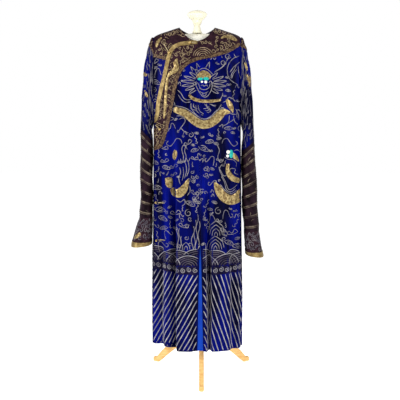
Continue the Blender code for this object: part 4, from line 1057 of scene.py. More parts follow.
# the dragon that faces out from chest and back, round a head at the middle
def frontalDragon(onto, behind, taken):
    def line(path, width=0.0033, smooth=True):
        stitch(path, "goldThread", onto, width, smooth=smooth, behind=behind)

    brow = ((196.4, 76.6), (198.6, 72.6), (202.6, 70.3), (207.0, 71.4), (211.2, 75.4), (209.4, 79.2),
            (204.2, 77.6), (198.8, 79.8))
    fillShape(brow, "laidGold", onto, behind=behind)
    for x, y, rx, ry in ((200.2, 78.9, 2.7, 1.7), (206.2, 78.6, 2.9, 1.8)):
        fillShape(ellipse(x, y, rx, ry), "teal", onto, 0.0022, behind=behind, grain=0.8)
    for x, y, r in ((202.0, 81.8, 1.2), (205.8, 82.0, 1.5)):
        eye(x, y, r, onto, behind, list, 0.0026, 0.36, (0.15, 0.3))
    line(((195.4, 75.2), (199.0, 70.4), (203.2, 68.2), (208.0, 69.6), (213.0, 74.6)))
    # rays over the brow, cheeks, muzzle, jaw and beard
    for a, b, c in (((197.0, 68.6), (196.4, 63.0), (200.0, 67.2)),
                    ((205.6, 67.6), (209.6, 61.6), (209.4, 68.4)),
                    ((192.6, 71.6), (190.6, 66.4), (195.4, 70.4))):
        line((a, b, c), smooth=False)
    line(((196.4, 81.0), (195.6, 84.0), (197.2, 88.2), (199.4, 92.4), (202.4, 96.0), (205.6, 97.2),
          (209.0, 94.4), (211.2, 90.0), (212.2, 85.0), (211.0, 81.0), (208.8, 82.6)))
    line(((197.4, 82.2), (199.0, 85.2), (200.2, 88.4), (203.4, 89.6), (206.4, 89.2), (209.4, 87.0),
          (210.0, 83.6)), 0.0034)
    line(((200.6, 86.0), (202.6, 84.8), (204.2, 86.2), (206.2, 85.0), (208.0, 86.4)), 0.0034)
    line(((199.6, 91.0), (202.0, 92.8), (205.0, 93.2), (208.4, 91.4)), 0.0034)
    line(((202.0, 93.6), (204.4, 96.0), (206.8, 93.4)), 0.0034)
    for side, x in ((-1, 194.6), (1, 213.4)):
        line(curl(x, 84.0, 2.2, 1.2, 0.6, side), 0.0036)
    # pointed locks round the head
    for degrees, low, high in (
        (24, 10.5, 21.5), (8, 11.0, 23.0), (-8, 11.0, 22.5), (-24, 11.5, 20.5), (-40, 12.0, 19.0),
        (44, 11.0, 19.0),
        (156, 10.5, 22.0), (172, 11.0, 23.5), (188, 11.0, 22.5), (204, 11.5, 20.5), (220, 12.0, 19.0),
        (136, 11.0, 20.0), (116, 13.5, 19.5),
    ):
        turn, between = math.radians(degrees), (low + high) / 2
        lock = ((low * 0.93, -0.14), (between, -0.10), (high, 0.0), (between, 0.06), (low * 0.93, 0.10))
        line([(204.0 + r * math.cos(turn + off), 83.5 - 0.82 * r * math.sin(turn + off)) for r, off in lock],
             0.0036)
    # the horn under the head and its shine
    laidBand(((189.4, 94.6, 1.1), (191.4, 97.4, 1.5), (196.0, 99.8, 1.7), (202.0, 101.0, 1.6),
              (209.0, 101.2, 1.5), (215.0, 100.8, 1.4), (220.6, 100.0, 0.9)), onto, 0.0022, behind, 1.0)
    line(((177.6, 90.0), (181.2, 93.6), (184.0, 98.4), (187.6, 99.8), (191.0, 99.4)))
    line(((178.0, 94.6), (181.6, 99.6), (185.6, 102.4), (190.6, 101.8)), 0.0036)
    line(((219.8, 100.2), (222.2, 95.8), (222.6, 92.8)))
    line(((223.0, 102.4), (226.4, 100.8), (228.6, 97.4), (232.4, 98.4), (235.4, 101.6)))
    # petals of the scalloped fan
    for x0, y0, x1, y1, deep in ((191.2, 103.6, 197.0, 110.4, 3.2), (195.8, 105.0, 203.0, 115.4, 2.4),
                                 (204.0, 103.6, 210.0, 112.0, -3.4), (209.4, 103.8, 215.6, 106.6, -2.4)):
        mx, my = (x0 + x1) / 2, (y0 + y1) / 2
        line(((x0, y0), (mx - deep, my + abs(deep) * 0.5), (x1, y1)))
        line(((x0 + 2.4, y0), (mx - deep * 0.1, my), (x1 + 0.6, y1 - 1.4)), 0.0034)
    line(((190.6, 103.2), (192.2, 109.6), (196.6, 115.0), (202.4, 118.8), (208.6, 118.4), (214.0, 114.6),
          (218.6, 108.8), (221.4, 104.4)))
    for k in range(3):
        line(((203.2 + 1.8 * k, 108.6 + 1.6 * k), (206.4 + 1.2 * k, 108.4 + 2.2 * k),
              (209.4, 106.0 + 2.6 * k)), 0.0034)
    # the body's arc of laid gold with its edge lines, and the bent limb
    edge = laidBand((
        (174.0, 109.4, 2.4), (178.4, 110.8, 3.2), (184.0, 112.8, 3.7), (190.0, 116.8, 4.0),
        (196.0, 121.6, 4.2), (202.4, 124.4, 4.3), (209.0, 123.6, 4.3), (214.8, 120.0, 4.4),
        (219.4, 115.2, 4.4), (224.4, 111.8, 3.2), (230.0, 112.4, 0.9)), onto, 0.0020, behind)
    line([tuple(q + (0.0, -1.3)) for q in edge[:-1]], 0.0036)
    laidBand(((226.4, 99.6, 1.0), (228.4, 102.4, 2.3), (230.4, 106.2, 2.7), (232.2, 110.0, 1.6),
              (232.6, 112.6, 0.7)), onto, 0.0020, behind)
    for path in (
        ((221.0, 107.0), (226.0, 110.4), (230.6, 113.6), (236.0, 114.4)),
        ((229.4, 115.0), (229.0, 120.0), (227.6, 123.4), (223.0, 126.0)),
        ((233.4, 115.6), (234.4, 121.0), (237.6, 124.4)), ((227.6, 123.2), (231.6, 121.0), (235.0, 118.6)),
        ((235.6, 108.8), (238.2, 114.0), (238.8, 119.6)),
        ((178.8, 119.4), (183.4, 117.8), (185.2, 121.2), (181.6, 126.8), (178.4, 131.2)),
        ((176.6, 116.0), (180.6, 115.8), (184.4, 117.2)), ((180.4, 127.4), (184.2, 131.4), (188.4, 132.8)),
    ):
        line(path)
    # plumes over the wearer's left chest
    for path in (
        ((239.0, 56.0), (233.4, 58.4), (229.0, 63.6), (227.2, 70.0), (228.6, 77.4), (232.6, 81.6),
         (237.8, 84.6)),
        ((242.0, 60.4), (238.0, 63.4), (233.6, 67.2), (230.0, 72.4)),
        ((236.4, 64.6), (234.4, 69.6), (231.6, 74.0), (231.0, 78.8)),
        ((236.6, 69.4), (233.4, 73.6), (231.8, 78.4)),
        ((238.2, 66.0), (238.6, 72.0), (240.4, 78.0), (241.4, 84.6), (240.6, 92.0), (242.6, 97.4)),
        ((229.6, 55.4), (226.6, 60.8), (221.6, 67.4), (215.4, 71.0)),
        ((214.2, 72.4), (219.0, 69.4), (223.6, 66.0), (226.2, 62.2)),
    ):
        line(path)
    taken += [(204, 83, 22), (204, 101, 17), (204, 112, 20), (184, 112, 9), (224, 113, 8), (230, 106, 7),
              (234, 68, 8), (236, 79, 6), (181, 97, 7), (231, 119, 6), (182, 124, 6)]


# a dragon seen from the side, low on the skirt; mirror turns it to the other side
def profileDragon(onto, behind, taken, shift=0.0, mirror=1, full=True, belly=True):
    middle = 229.0

    def at(path):
        return [(middle + mirror * (x - middle) + shift, y) for x, y in path]

    def line(path, width=0.0033):
        stitch(at(path), "goldThread", onto, width, behind=behind)

    if full:
        fillShape(at(((232.6, 152.6), (235.4, 153.8), (238.0, 157.2), (239.0, 161.6), (235.6, 159.8),
                      (232.2, 157.0))), "laidGold", onto, behind=behind)
        fillShape(at(((230.2, 149.8), (232.2, 150.0), (233.2, 153.0), (232.6, 157.4), (230.0, 157.8),
                      (229.2, 154.0))), "teal", onto, 0.0020, behind=behind, grain=0.8)
        for x, y, r in ((228.2, 152.0, 1.9), (227.6, 156.0, 1.5)):
            eye(x, y, r, onto, behind, at, 0.0024, 0.34)
        line(((224.4, 157.0), (228.0, 159.2), (233.0, 159.6), (236.4, 163.0), (236.0, 166.6)))
        line(((233.8, 150.8), (237.2, 149.8), (240.2, 152.6), (240.2, 157.0)), 0.0036)
        laidBand(((228.0, 164.0, 1.6), (227.4, 168.4, 1.6), (228.4, 173.0, 2.4), (232.0, 177.6, 2.8),
                  (236.6, 180.0, 2.6), (240.2, 180.6, 2.0)), onto, behind=behind, at=at)
        line(((229.0, 170.0), (231.6, 168.4), (235.6, 169.4), (234.4, 172.6), (238.0, 174.6)), 0.0036)
        line(((218.6, 167.0), (221.4, 172.0), (224.0, 176.0), (227.6, 174.4)))
        line(((222.4, 164.0), (219.4, 168.8), (222.0, 175.2), (225.2, 181.2), (228.8, 189.6), (234.2, 187.4),
              (237.0, 184.8)))
        line(((221.2, 176.4), (224.4, 182.0), (226.4, 189.6), (231.0, 191.8), (235.6, 188.4)), 0.0036)
    if belly:
        edge = laidBand((
            (214.6, 182.4, 0.8), (217.4, 187.4, 3.4), (220.4, 193.0, 4.2), (225.0, 197.8, 4.7),
            (231.0, 199.8, 5.0), (236.6, 198.0, 5.0), (240.4, 194.0, 4.4), (242.6, 190.0, 3.0)),
            onto, 0.0022, behind, at=at)
        line([tuple(q + (0.0, -1.4)) for q in edge[1:-1]], 0.0036)
    for path in (((222.0, 143.6), (223.4, 139.6), (227.4, 138.6), (230.8, 143.4), (234.0, 146.2),
                  (237.6, 143.6), (235.6, 140.8)),
                 ((217.6, 145.6), (219.4, 150.6), (217.8, 156.6), (219.6, 161.8), (222.6, 161.6),
                  (223.4, 158.6))):
        line(path)
    spots = ((228, 193, 13), (229, 142, 8), (219, 152, 6)) + (((233, 155, 9), (232, 173, 9),
        (220, 172, 6)) if full else ())
    taken += [(middle + mirror * (a - middle) + shift, b, c) for a, b, c in spots]


def mountains(onto, behind, taken, dx=0.0):
    def line(path, width=0.0031, smooth=True):
        stitch([(x + dx, y) for x, y in path], "goldThread", onto, width, smooth=smooth, behind=behind)

    # nested peaks, then the tall rocks beside the slit
    for middle, base, peak, count in ((215.4, 249.5, 237.0, 4), (216.0, 236.0, 222.0, 4),
                                      (186.0, 250.0, 243.0, 2)):
        for k in range(count):
            wide = 1.6 + 2.35 * k
            top = base - (base - peak) * (k + 1) / count
            drop = min(wide * 0.95, 7.5)
            line(((middle - wide, min(top + drop + 3, base)), (middle - wide * 0.8, top + drop * 0.62),
                  (middle - wide * 0.3, top + drop * 0.1), (middle, top - 0.6),
                  (middle + wide * 0.3, top + drop * 0.1),
                  (middle + wide * 0.8, top + drop * 0.62), (middle + wide, min(top + drop + 3, base))))
    for x, top, sway in ((193.4, 226.0, 1.2), (195.6, 220.0, 1.0), (197.6, 214.0, 0.9), (199.4, 221.0, 0.8),
                         (177.0, 224.0, -0.9), (179.4, 228.0, -1.1), (181.4, 236.0, -1.0)):
        path = [(x + sway * math.sin(0.34 * (y - top)) - sway * (y - top) * 0.05, y)
                for y in np.arange(top, 251.0, 2.0)]
        line(path)
    for x, y, way in ((190.0, 219.0, 1), (187.4, 226.6, -1), (186.4, 238.0, 1), (190.0, 245.0, -1),
                      (222.4, 229.4, 1), (224.0, 239.0, 1), (182.0, 220.6, 1), (207.6, 228.0, -1)):
        line(curl(x, y, 2.4, 1.2, 0.4 * x, way))
    taken += [(215, 243, 9), (216, 230, 7), (196, 235, 9), (196, 222, 7), (179, 236, 6), (188, 241, 7)]


# flat places on one quarter of the robe: along a row from the centre seam, and height
class Cloth:
    def __init__(self, grid, normals, lift):
        self.grid = grid + normals * lift
        self.normals = normals
        self.across = np.concatenate([np.zeros((len(grid), 1)),
                                      np.cumsum(np.linalg.norm(np.diff(grid, axis=1), axis=2), axis=1)],
                                      axis=1)
        self.height = grid[:, 0, 2]

    def width(self, z):
        return float(np.interp(z, self.height, self.across[:, -1]))

    def at(self, u, z):
        rows = np.clip(np.searchsorted(self.height, z) - 1, 0, len(self.height) - 2)
        t = np.clip((z - self.height[rows]) / (self.height[rows + 1] - self.height[rows]), 0, 1)
        out = []
        for k, (row, share) in enumerate(zip(rows, t)):
            both = []
            for j in (row, row + 1):
                col = np.interp(u[k], self.across[j], np.arange(self.grid.shape[1]))
                i = min(int(col), self.grid.shape[1] - 2)
                f = col - i
                both.append((mix(self.grid[j, i], self.grid[j, i + 1], f),
                             mix(self.normals[j, i], self.normals[j, i + 1], f)))
            out.append([mix(both[0][m], both[1][m], share) for m in (0, 1)])
        out = np.array(out)
        return out[:, 0], out[:, 1] / np.linalg.norm(out[:, 1], axis=1, keepdims=True)


# draws a path of flat places, kept inside the quarter
def clothLine(cloth, path, store, width, height=0.0010, step=0.006):
    if len(path) < 2:
        return
    q = resample(path, step)
    keep = (q[:, 0] > 0.004) & (q[:, 0] < np.array([cloth.width(z) for z in q[:, 1]]) - 0.004)
    run = []
    for k in range(len(q) + 1):
        if k < len(q) and keep[k]:
            run.append(q[k])
        elif len(run) > 1:
            r = np.array(run)
            points, normals = cloth.at(r[:, 0], r[:, 1])
            addRibbon(store, points, normals, width, height)
            run = []
        else:
            run = []


front = slice(0, frontRows)
skirtCloths = {
    "frontLeft": Cloth(leftGrid[front], leftNormals[front], half),
    "frontRight": Cloth(overlapGrid, overlapNormals, half),
    "backLeft": Cloth(leftGrid[frontRows:][::-1], leftNormals[frontRows:][::-1], half),
    "backRight": Cloth(rightGrid[frontRows:][::-1], rightNormals[frontRows:][::-1], half),
    "underRight": Cloth(rightGrid[front], rightNormals[front], half),
}

# the border of the sea: standing water in slanted stripes, curls, and hills of waves
water = {
    "slope": {"frontLeft": 0.33, "frontRight": 0.54, "backLeft": 0.46, "backRight": 0.46, "underRight": 0.54},
    "stripeTop": 0.462, "spacing": 0.0205, "stripeWidth": 0.0050, "turnAt": 0.052, "turnSpacing": 0.040,
    "edgeBand": 0.023, "bandSpacing": 0.0375, "bandWidth": 0.0044,
    "ground": (0.467, 0.500, 0.0068), "groundWidth": 0.0070,
    "curlHeight": 0.482, "curlRadius": 0.0118, "curlSpacing": 0.0265,
    "hillRows": ((0.500, 0.5), (0.528, 0.0)), "hillRadius": 0.058, "hillSpacing": 0.094, "hillLines": 5,
    "lineGap": 0.185, "hillBreadth": 1.05, "hillHeight": 0.78,
}


def standingWater(name, cloth):
    slope, spacing = water["slope"][name], water["spacing"]
    low, top = robe["hem"] + 0.003, 0.20 if name == "underRight" else water["stripeTop"]
    turn = cloth.width(0.3) - water["turnAt"]
    edge = water["edgeBand"] if name == "frontLeft" else 0.0
    for k in range(int((turn + (top - low) * slope) / spacing) + 1):
        heights = np.append(np.arange(top, low, -0.008), low)
        along = edge + 0.004 + k * spacing + (top - heights) * slope - (top - low) * slope
        keep = (along > edge) & (along < turn)
        if not keep.any():
            continue
        heights, along = heights[keep], along[keep] + 0.0012 * np.sin(31 * heights[keep] + 1.7 * k)
        if name == "frontRight":
            # the overlap is shorter towards the side
            place, _ = cloth.at(along, heights)
            inside = place[:, 2] > overlapHem(place[:, 0]) + 0.003
            heights, along = heights[inside], along[inside]
        path = [(u, z) for u, z in zip(along, heights) if name != "underRight" or u > 0.09]
        if len(path) > 2:
            clothLine(cloth, path, "waterThread", water["stripeWidth"])
    # at the side seam the stripes turn back, and beside the slit a narrow band has its own
    if name != "underRight":
        for k in range(int((top - low) / water["turnSpacing"])):
            z = top - 0.006 - k * water["turnSpacing"]
            path = [(turn + 0.004, z - 0.060), (turn + water["turnAt"] * 0.55, z - 0.030),
                    (cloth.width(z) - 0.006, z)]
            if path[0][1] > low + 0.02:
                clothLine(cloth, path, "waterThread", water["stripeWidth"])
    if edge:
        for z in np.arange(low + 0.030, top + 0.020, water["bandSpacing"]):
            clothLine(cloth, [(0.005, z), (edge * 0.55, z - 0.012), (edge - 0.003, z - 0.032)], "waterThread",
                      water["bandWidth"],
                      step=0.004)
        clothLine(cloth, [(edge, low), (edge, 0.40), (edge, 0.60)], "waterThread", 0.0020)


def seaOf(name, cloth):
    wide = cloth.width(0.48)
    for z in np.arange(*water["ground"]):
        clothLine(cloth, [(0.002, z), (wide * 0.5, z), (wide, z)], "seaSilk", water["groundWidth"], 0.0004)
    u, k = 0.016, 0
    while u < wide - 0.008:
        z = water["curlHeight"] + 0.003 * math.sin(1.9 * k)
        clothLine(cloth, curl(u, z, water["curlRadius"], 1.6, math.pi * 0.5, -1), "waterThread", 0.0028,
                  step=0.004)
        clothLine(cloth, curl(u, z, water["curlRadius"] * 0.5, 1.0, 0.0, -1), "waterFine", 0.0024, step=0.003)
        u += water["curlSpacing"]
        k += 1
    # hills of waves in two rows, each with fine lines inside its edge line
    for row, (base, shift) in enumerate(water["hillRows"]):
        for n in range(-1, int(wide / water["hillSpacing"]) + 2):
            middle = (n + shift) * water["hillSpacing"] + 0.012 * math.sin(2.3 * n + row)
            radius = water["hillRadius"] * (1 + 0.12 * math.sin(1.3 * n + 2 * row))
            for line in range(water["hillLines"]):
                r = radius * (1 - water["lineGap"] * line)
                path = [(middle + r * water["hillBreadth"] * math.cos(a),
                         base - 0.004 * row + r * water["hillHeight"] * math.sin(a))
                        for a in np.linspace(0.12, math.pi - 0.12, 22)]
                # a hill in the lower row hides the foot of the ones behind it
                if row == 1:
                    path = [q for q in path if all(
                        ((q[0] - (m + 0.5) * water["hillSpacing"]) / (water["hillRadius"] * 1.10)) ** 2
                        + ((q[1] - water["hillRows"][0][0]) / (water["hillRadius"] * 0.86)) ** 2 > 1.0
                        for m in range(-1, 8))]
                parts = [[]]
                for q in path:
                    if parts[-1] and math.dist(q, parts[-1][-1]) > 0.02:
                        parts.append([])
                    parts[-1].append(q)
                look = ("waterThread", 0.0038, 0.0011) if line == 0 else ("waterFine", 0.0030, 0.0008)
                for part in parts:
                    if len(part) > 2:
                        ground = [(u, z - water["lineGap"] * radius * 0.42) for u, z in part]
                        clothLine(cloth, ground, "seaSilk", 0.0118, 0.0003, 0.007)
                        clothLine(cloth, part, *look, 0.007)


seamLine = {"inset": 0.0046, "hemAbove": 0.008, "width": 0.0016, "height": 0.0004}
for name, cloth in skirtCloths.items():
    under = name == "underRight"
    top = 0.17 if under else 1.30 if name.startswith("front") else 1.36
    inset = seamLine["inset"]
    seams = [[(inset, z) for z in np.arange(0.14, top, 0.02)],
             [(cloth.width(z) - inset, z) for z in np.arange(0.17, min(top, 1.02), 0.02)]]
    rise = robe["hem"] + seamLine["hemAbove"] + (0.010 if under else 0.0)
    reach = cloth.width(0.14) - (0.10 if name == "frontRight" else 0.006)
    seams.append([(u, rise) for u in np.arange(0.006, reach, 0.01)])
    for seam in seams:
        clothLine(cloth, seam, "seamThread", seamLine["width"], seamLine["height"], 0.01)
    standingWater(name, cloth)
    if not under:
        seaOf(name, cloth)
say("sea border drawn")

blueFront = ("leftLength", "overlapFront", "rightLength")
for behind in (False, True):
    taken = []
    frontalDragon(blueFront, behind, taken)
    profileDragon(blueFront, behind, taken)
    profileDragon(blueFront, behind, taken, shift=-54.0, mirror=-1, full=behind, belly=behind)
    if not behind:
        # what the deep fold leaves of the second dragon
        laidBand(((171.6, 188.6, 2.0), (174.6, 192.4, 3.6), (178.6, 193.4, 4.4), (182.6, 190.4, 4.2),
                  (185.8, 185.4, 2.8), (188.4, 179.4, 0.8)), blueFront, 0.0022)
        fillShape(((165.2, 178.2), (168.6, 177.2), (172.4, 178.4), (172.8, 184.0), (171.6, 187.6),
                   (168.4, 187.8), (165.6, 184.2)), "laidGold", blueFront, 0.0022, grain=1.0)
        fillShape(((174.4, 149.6), (177.0, 151.4), (176.8, 156.4), (174.6, 160.2), (172.6, 157.2),
                   (173.0, 152.4)), "laidGold", blueFront, 0.0018, grain=1.0)
        for path in (((186.6, 176.4), (188.8, 170.2), (188.6, 163.4), (186.2, 158.2)),
                     ((184.4, 178.4), (186.4, 171.6), (186.0, 165.0), (183.8, 160.6)),
                     ((182.2, 180.4), (183.6, 173.6), (183.0, 167.0)),
                     ((180.2, 184.2), (178.8, 178.0), (180.6, 172.6), (179.6, 167.4)),
                     ((176.6, 199.4), (180.4, 202.0), (184.2, 199.4), (185.0, 203.6),
                      (181.8, 206.0)), ((187.4, 195.4), (190.0, 191.0), (189.6, 185.6))):
            stitch(path, "goldThread", blueFront)
        taken += [(179, 190, 8), (169, 182, 6), (175, 155, 5), (185, 170, 7), (182, 202, 4)]
    mountains(blueFront, behind, taken)
    if behind:
        mountains(blueFront, behind, taken, dx=-26.0)
    # the flaming pearl and its cluster of curls
    draw = random.Random(5)
    for k in range(26):
        x, y = 200 + draw.uniform(-8.0, 8.0), 183 + draw.uniform(-19.0, 18.0)
        stitch(curl(x, y, draw.uniform(1.6, 2.8), 1.2, draw.uniform(0, 6), draw.choice((-1, 1))),
               "goldThread", blueFront, 0.0028, behind=behind)
    taken += [(200, 173, 9), (200, 190, 9)]
    stitch(((187.6, 149.6), (184.0, 145.0), (181.8, 149.0), (183.4, 156.6), (182.4, 162.4), (179.0, 162.6),
            (178.6, 159.6)), "goldThread", blueFront, behind=behind)
    scatterMotifs((152, 54, 244, 246), 150, blueFront, 11 + behind, taken, behind, (3.8, 6.4))
    scatterMotifs((152, 54, 244, 246), 200, blueFront, 21 + behind, taken, behind, (1.9, 3.4))
say("dragons, clouds and mountains drawn")

# the facing: waves, a small dragon's body and close curls
darkCollar = tuple(collarNames)
for behind in (False, True):
    taken = []
    for k in range(5):
        r = 2.0 + 2.0 * k
        stitch([(203 + r * math.cos(a), 57 - r * 0.95 * math.sin(a))
                for a in np.linspace(0.1, math.pi - 0.1, 12)],
               "facingThread", darkCollar, 0.0025, behind=behind)
    taken.append((203, 53, 9))
    for rows in (((177.2, 58.6, 0.8), (175.6, 62.6, 2.4), (176.6, 66.8, 2.7), (174.2, 71.0, 2.6),
                  (170.0, 73.6, 1.8), (168.0, 77.0, 1.0)),
                 ((167.4, 77.6, 1.0), (166.8, 84.0, 1.5), (166.0, 92.0, 1.2), (165.4, 101.0, 1.5),
                  (165.0, 110.0, 1.3), (163.8, 118.0, 0.8)),
                 ((221.0, 38.0, 0.7), (226.0, 36.2, 1.6), (232.0, 37.6, 2.0), (236.6, 40.4, 1.0)),
                 ((161.6, 37.4, 0.6), (158.0, 41.6, 1.5), (156.4, 46.6, 1.0))):
        laidBand(rows, darkCollar, 0.0014, behind, 1.1)
        taken += [(x, y, 2.6) for x, y, _ in rows]
    draw = random.Random(31 + behind)
    for _ in range(6000):
        x, y = draw.uniform(146, 248), draw.uniform(26, 150)
        r = draw.uniform(1.3, 2.7)
        # the silk stays plain near the neck
        plain = math.hypot((x - 178) / 12, (y - 41) / 6) < 1.0 or math.hypot((x - 208) / 9,
            (y - 36) / 6) < 1.0
        if (plain and not behind) or not claim(taken, x, y, r * 0.66):
            continue
        way = draw.choice((-1, 1))
        start = draw.uniform(0, 6.28)
        if draw.random() < 0.6:
            path = curl(x, y, r, 1.25, start, way)
        else:
            path = turnPath(motifs["streamer"], x, y, r * 1.05, start, way)
        stitch(path, "facingThread", darkCollar, 0.0025, behind=behind, step=0.7)
say("facing embroidered")


# sleeves: flat places are a turn round the sleeve (0 inside, going by the front) and a share of its length

def sleeveLine(side, part, path, store, width=0.0030, height=0.0009):
    grid, normals = sleeveShapes[side][part]
    rows, columns = grid.shape[:2]
    q = np.array(path, dtype=float)
    turn = q[:, 0] % 1.0 * columns
    share = np.clip(q[:, 1], 0.004, 0.996) * (rows - 1)
    i, j = turn.astype(int) % columns, np.minimum(share.astype(int), rows - 2)
    fi, fj = (turn - np.floor(turn))[:, None], (share - j)[:, None]
    following = (i + 1) % columns

    def blend(a):
        return mix(mix(a[j, i], a[j, following], fi), mix(a[j + 1, i], a[j + 1, following], fi), fj)

    n = blend(normals)
    n /= np.linalg.norm(n, axis=1, keepdims=True)
    addRibbon(store, blend(grid) + n * (robe["wall"] / 2), n, width, height)


sleeveWork = {"girth": 0.36, "upper": 0.42, "lower": 0.33, "cuff": 0.11, "bands": 8, "bandSlant": 0.030}
girth = sleeveWork["girth"]


# a motif in metres on the sleeve
def sleeveMotif(side, part, flat, store="sleeveThread", width=0.0029):
    q = resample(smoothPath(flat, 5), 0.005)
    sleeveLine(side, part, [(x / girth, y / sleeveWork[part]) for x, y in q], store, width)


for side in ("Left", "Right"):
    draw = random.Random(7 if side == "Left" else 8)
    taken = []
    for _ in range(900):
        x, y, r = (draw.uniform(0, girth), draw.uniform(0.015, sleeveWork["upper"] - 0.015),
                   draw.uniform(0.009, 0.021))
        if not claim(taken, x, y, r * 0.9, girth):
            continue
        kind = draw.choice(("lozenge", "wave", "hook", "streamer", "streamer"))
        tilt, mirror = draw.uniform(-0.6, 0.6), draw.choice((-1, 1))
        if len(taken) % 5 == 0:
            sleeveMotif(side, "upper", curl(x, y, r * 0.8, 1.4, tilt * 5, mirror))
        else:
            sleeveMotif(side, "upper", turnPath(motifs[kind], x, y, r, tilt, mirror))
    # slanted gold bands on the ribbed lower sleeve, each with a fine line below
    for k in range(sleeveWork["bands"]):
        t = (k + 0.55) / sleeveWork["bands"]
        for twin, width in ((0.0, 0.0052), (0.018, 0.0022)):
            path = [(a, t + twin + sleeveWork["bandSlant"] * 0.5 * math.cos(2 * math.pi * a + 0.4))
                    for a in np.linspace(0, 1, 64)]
            sleeveLine(side, "lower", path, "bandThread", width, 0.0012)
    for k in range(40):
        x, y = draw.uniform(0, girth), draw.uniform(0.02, sleeveWork["lower"] - 0.02)
        sleeveMotif(side, "lower", turnPath(motifs["streamer"], x, y, 0.009, draw.uniform(0, 3), 1),
                    "bandThread", 0.0026)
    taken = []
    for _ in range(500):
        x, y, r = draw.uniform(0, girth), draw.uniform(0.008, 0.078), draw.uniform(0.006, 0.012)
        if claim(taken, x, y, r * 0.75, girth):
            sleeveMotif(side, "cuff", curl(x, y, r, 1.3, draw.uniform(0, 6), draw.choice((-1, 1))),
                        width=0.0032)
say("sleeves embroidered")

# gold dragon patches on the sleeves, as seen from the front and from behind
for behind in (False, True):
    for rows in (((143.0, 72.0, 0.6), (144.6, 74.4, 1.6), (147.0, 75.4, 1.2)),
                 ((244.6, 62.6, 0.6), (246.4, 66.0, 1.5), (247.4, 70.4, 1.0)),
                 ((246.6, 74.2, 0.8), (249.0, 78.0, 2.3), (250.4, 83.0, 1.8), (249.6, 86.6, 0.6)),
                 ((144.6, 90.0, 0.6), (146.0, 94.0, 1.4), (147.6, 97.0, 0.8)), ((134.0, 238.6, 0.6),
                     (137.4, 236.0, 2.0), (140.4, 233.4, 1.2))):
        laidBand(rows, tuple(sleeveNames), 0.0016, behind, 1.0)

threadLooks = {"teal": "tealSilk", "eyeWhite": "whiteSilk", "pupil": "darkSilk"}
for store, (vertices, faces, _) in threads.items():
    faces = np.concatenate(faces)
    look = materials[threadLooks.get(store, store)]
    piece = addMesh("work_" + store, np.concatenate(vertices), faces, look, 80.0)
    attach(piece, "root")
    say("%s has %d faces" % (store, len(faces)))

# every piece of cloth as it was cut: width and length in metres, flat area, and what it hangs from or lies on
cuts = {
    "leftLength": ((0.34, 2.94), 0.734, "hung", "form_torso"),
    "rightLength": ((0.35, 2.94), 0.777, "hung", "form_torso"),
    "overlapFront": ((0.35, 1.33), 0.345, "hung", "rightLength"),
    "facingLeft": ((0.18, 0.40), 0.0447, "stretched", "leftLength"),
    "facingOverlap": ((0.20, 0.47), 0.0387, "stretched", "overlapFront"),
    "facingRight": ((0.18, 0.38), 0.0439, "stretched", "rightLength"),
    "borderLeft": ((0.014, 0.430), 0.0060, "stretched", "facingLeft"),
    "borderOverlap": ((0.014, 0.545), 0.0076, "stretched", "facingOverlap"),
    "borderRight": ((0.014, 0.266), 0.0037, "stretched", "facingRight"),
    "overlapBinding": ((0.0155, 0.530), 0.0081, "stretched", "overlapFront"),
    "upperSleeveLeft": ((0.52, 0.44), 0.099, "hung", "leftLength"),
    "upperSleeveRight": ((0.52, 0.39), 0.085, "hung", "rightLength"),
    "lowerSleeveLeft": ((0.335, 0.40), 0.121, "hung", "upperSleeveLeft"),
    "lowerSleeveRight": ((0.335, 0.39), 0.112, "hung", "upperSleeveRight"),
    "cuffLeft": ((0.385, 0.118), 0.0383, "hung", "lowerSleeveLeft"),
    "cuffRight": ((0.40, 0.136), 0.0451, "hung", "lowerSleeveRight"),
    "cuffEdgeLeft": ((0.385, 0.025), 0.0080, "stretched", "cuffLeft"),
    "cuffEdgeRight": ((0.40, 0.025), 0.0083, "stretched", "cuffRight"),
    "yokeLeft": ((0.055, 0.15), 0.0050, "stretched", "upperSleeveLeft"),
    "yokeRight": ((0.055, 0.14), 0.0041, "stretched", "upperSleeveRight"),
    "yokeEdgeLeft": ((0.0145, 0.15), 0.0021, "stretched", "yokeLeft"),
    "yokeEdgeRight": ((0.0145, 0.115), 0.0015, "stretched", "yokeRight"),
    "slitLining": ((0.036, 0.47), 0.0166, "hung", "leftLength"),
}
say("%d sheets declared" % len(cuts))

# what stays as the solids have it, with a better finish
finishes = {"form_torso": "linen", "finial": "creamPaint", "pole": "pine", "hub": "pine", "leg": "pine",
            "button": "gilt", "loop": "loopCord"}
for node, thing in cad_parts.items():
    for start, material in finishes.items():
        if node.startswith(start):
            thing.data.materials.clear()
            thing.data.materials.append(materials[material])

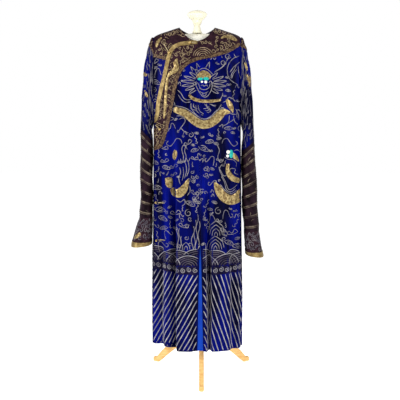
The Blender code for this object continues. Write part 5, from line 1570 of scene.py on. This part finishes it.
# camera, light and floor
camera = bpy.data.objects.new("camera", bpy.data.cameras.new("camera"))
bpy.context.scene.collection.objects.link(camera)
camera.location = (view["side"], robe["axisY"] - view["distance"], view["height"])
camera.rotation_euler = (math.radians(90 - view["pitch"]), 0, 0)
camera.data.angle = math.radians(view["fieldOfView"])
camera.data.sensor_fit = "HORIZONTAL"
bpy.context.scene.camera = camera
bpy.context.scene.view_settings.view_transform = "Standard"

studio = {"paper": 0.80, "ambient": 0.25}
# place, target, size and power of each light
lights = {
    "left": ((-2.7, -1.9, 2.1), (0, 0, 0.85), (0.7, 1.8), 108),
    "right": ((2.7, -1.9, 1.9), (0, 0, 0.85), (0.7, 1.8), 82),
    "rear": ((0.4, 1.4, 3.2), (0, 0, 1.0), (1.8, 0.8), 24),
}
paper = newMaterial("paper", (0.80, 0.80, 0.80), (0.82, 0.82, 0.82), 0.9, scale=2.0, bump=0.02)
shader = paper.node_tree.nodes["Principled BSDF"]
shader.inputs["Emission Color"].default_value = (1, 1, 1, 1)
shader.inputs["Emission Strength"].default_value = studio["paper"]
floor = addMesh("floor", [(-9, -9, 0), (9, -9, 0), (9, 9, 0), (-9, 9, 0)], [(0, 1, 2, 3)], paper)
# the camera sees white all round, while the cloth is lit by a dimmer sky
world = bpy.data.worlds.new("studio")
world.use_nodes = True
skyNodes, skyLinks = world.node_tree.nodes, world.node_tree.links
dim, bright = skyNodes["Background"], skyNodes.new("ShaderNodeBackground")
choose, ray = skyNodes.new("ShaderNodeMixShader"), skyNodes.new("ShaderNodeLightPath")
dim.inputs["Color"].default_value = bright.inputs["Color"].default_value = (1, 1, 1, 1)
dim.inputs["Strength"].default_value = studio["ambient"]
bright.inputs["Strength"].default_value = 1.0
skyLinks.new(ray.outputs["Is Camera Ray"], choose.inputs[0])
skyLinks.new(dim.outputs[0], choose.inputs[1])
skyLinks.new(bright.outputs[0], choose.inputs[2])
skyLinks.new(choose.outputs[0], skyNodes["World Output"].inputs["Surface"])
bpy.context.scene.world = world


def areaLight(name, place, target, size, power):
    light = bpy.data.objects.new(name, bpy.data.lights.new(name, "AREA"))
    light.data.shape = "RECTANGLE"
    light.data.size, light.data.size_y = size
    light.data.energy = power
    light.location = place
    light.rotation_euler = (Vector(target) - Vector(place)).to_track_quat("-Z", "Y").to_euler()
    bpy.context.scene.collection.objects.link(light)


for name, row in lights.items():
    areaLight(name, *row)
say("stage set")
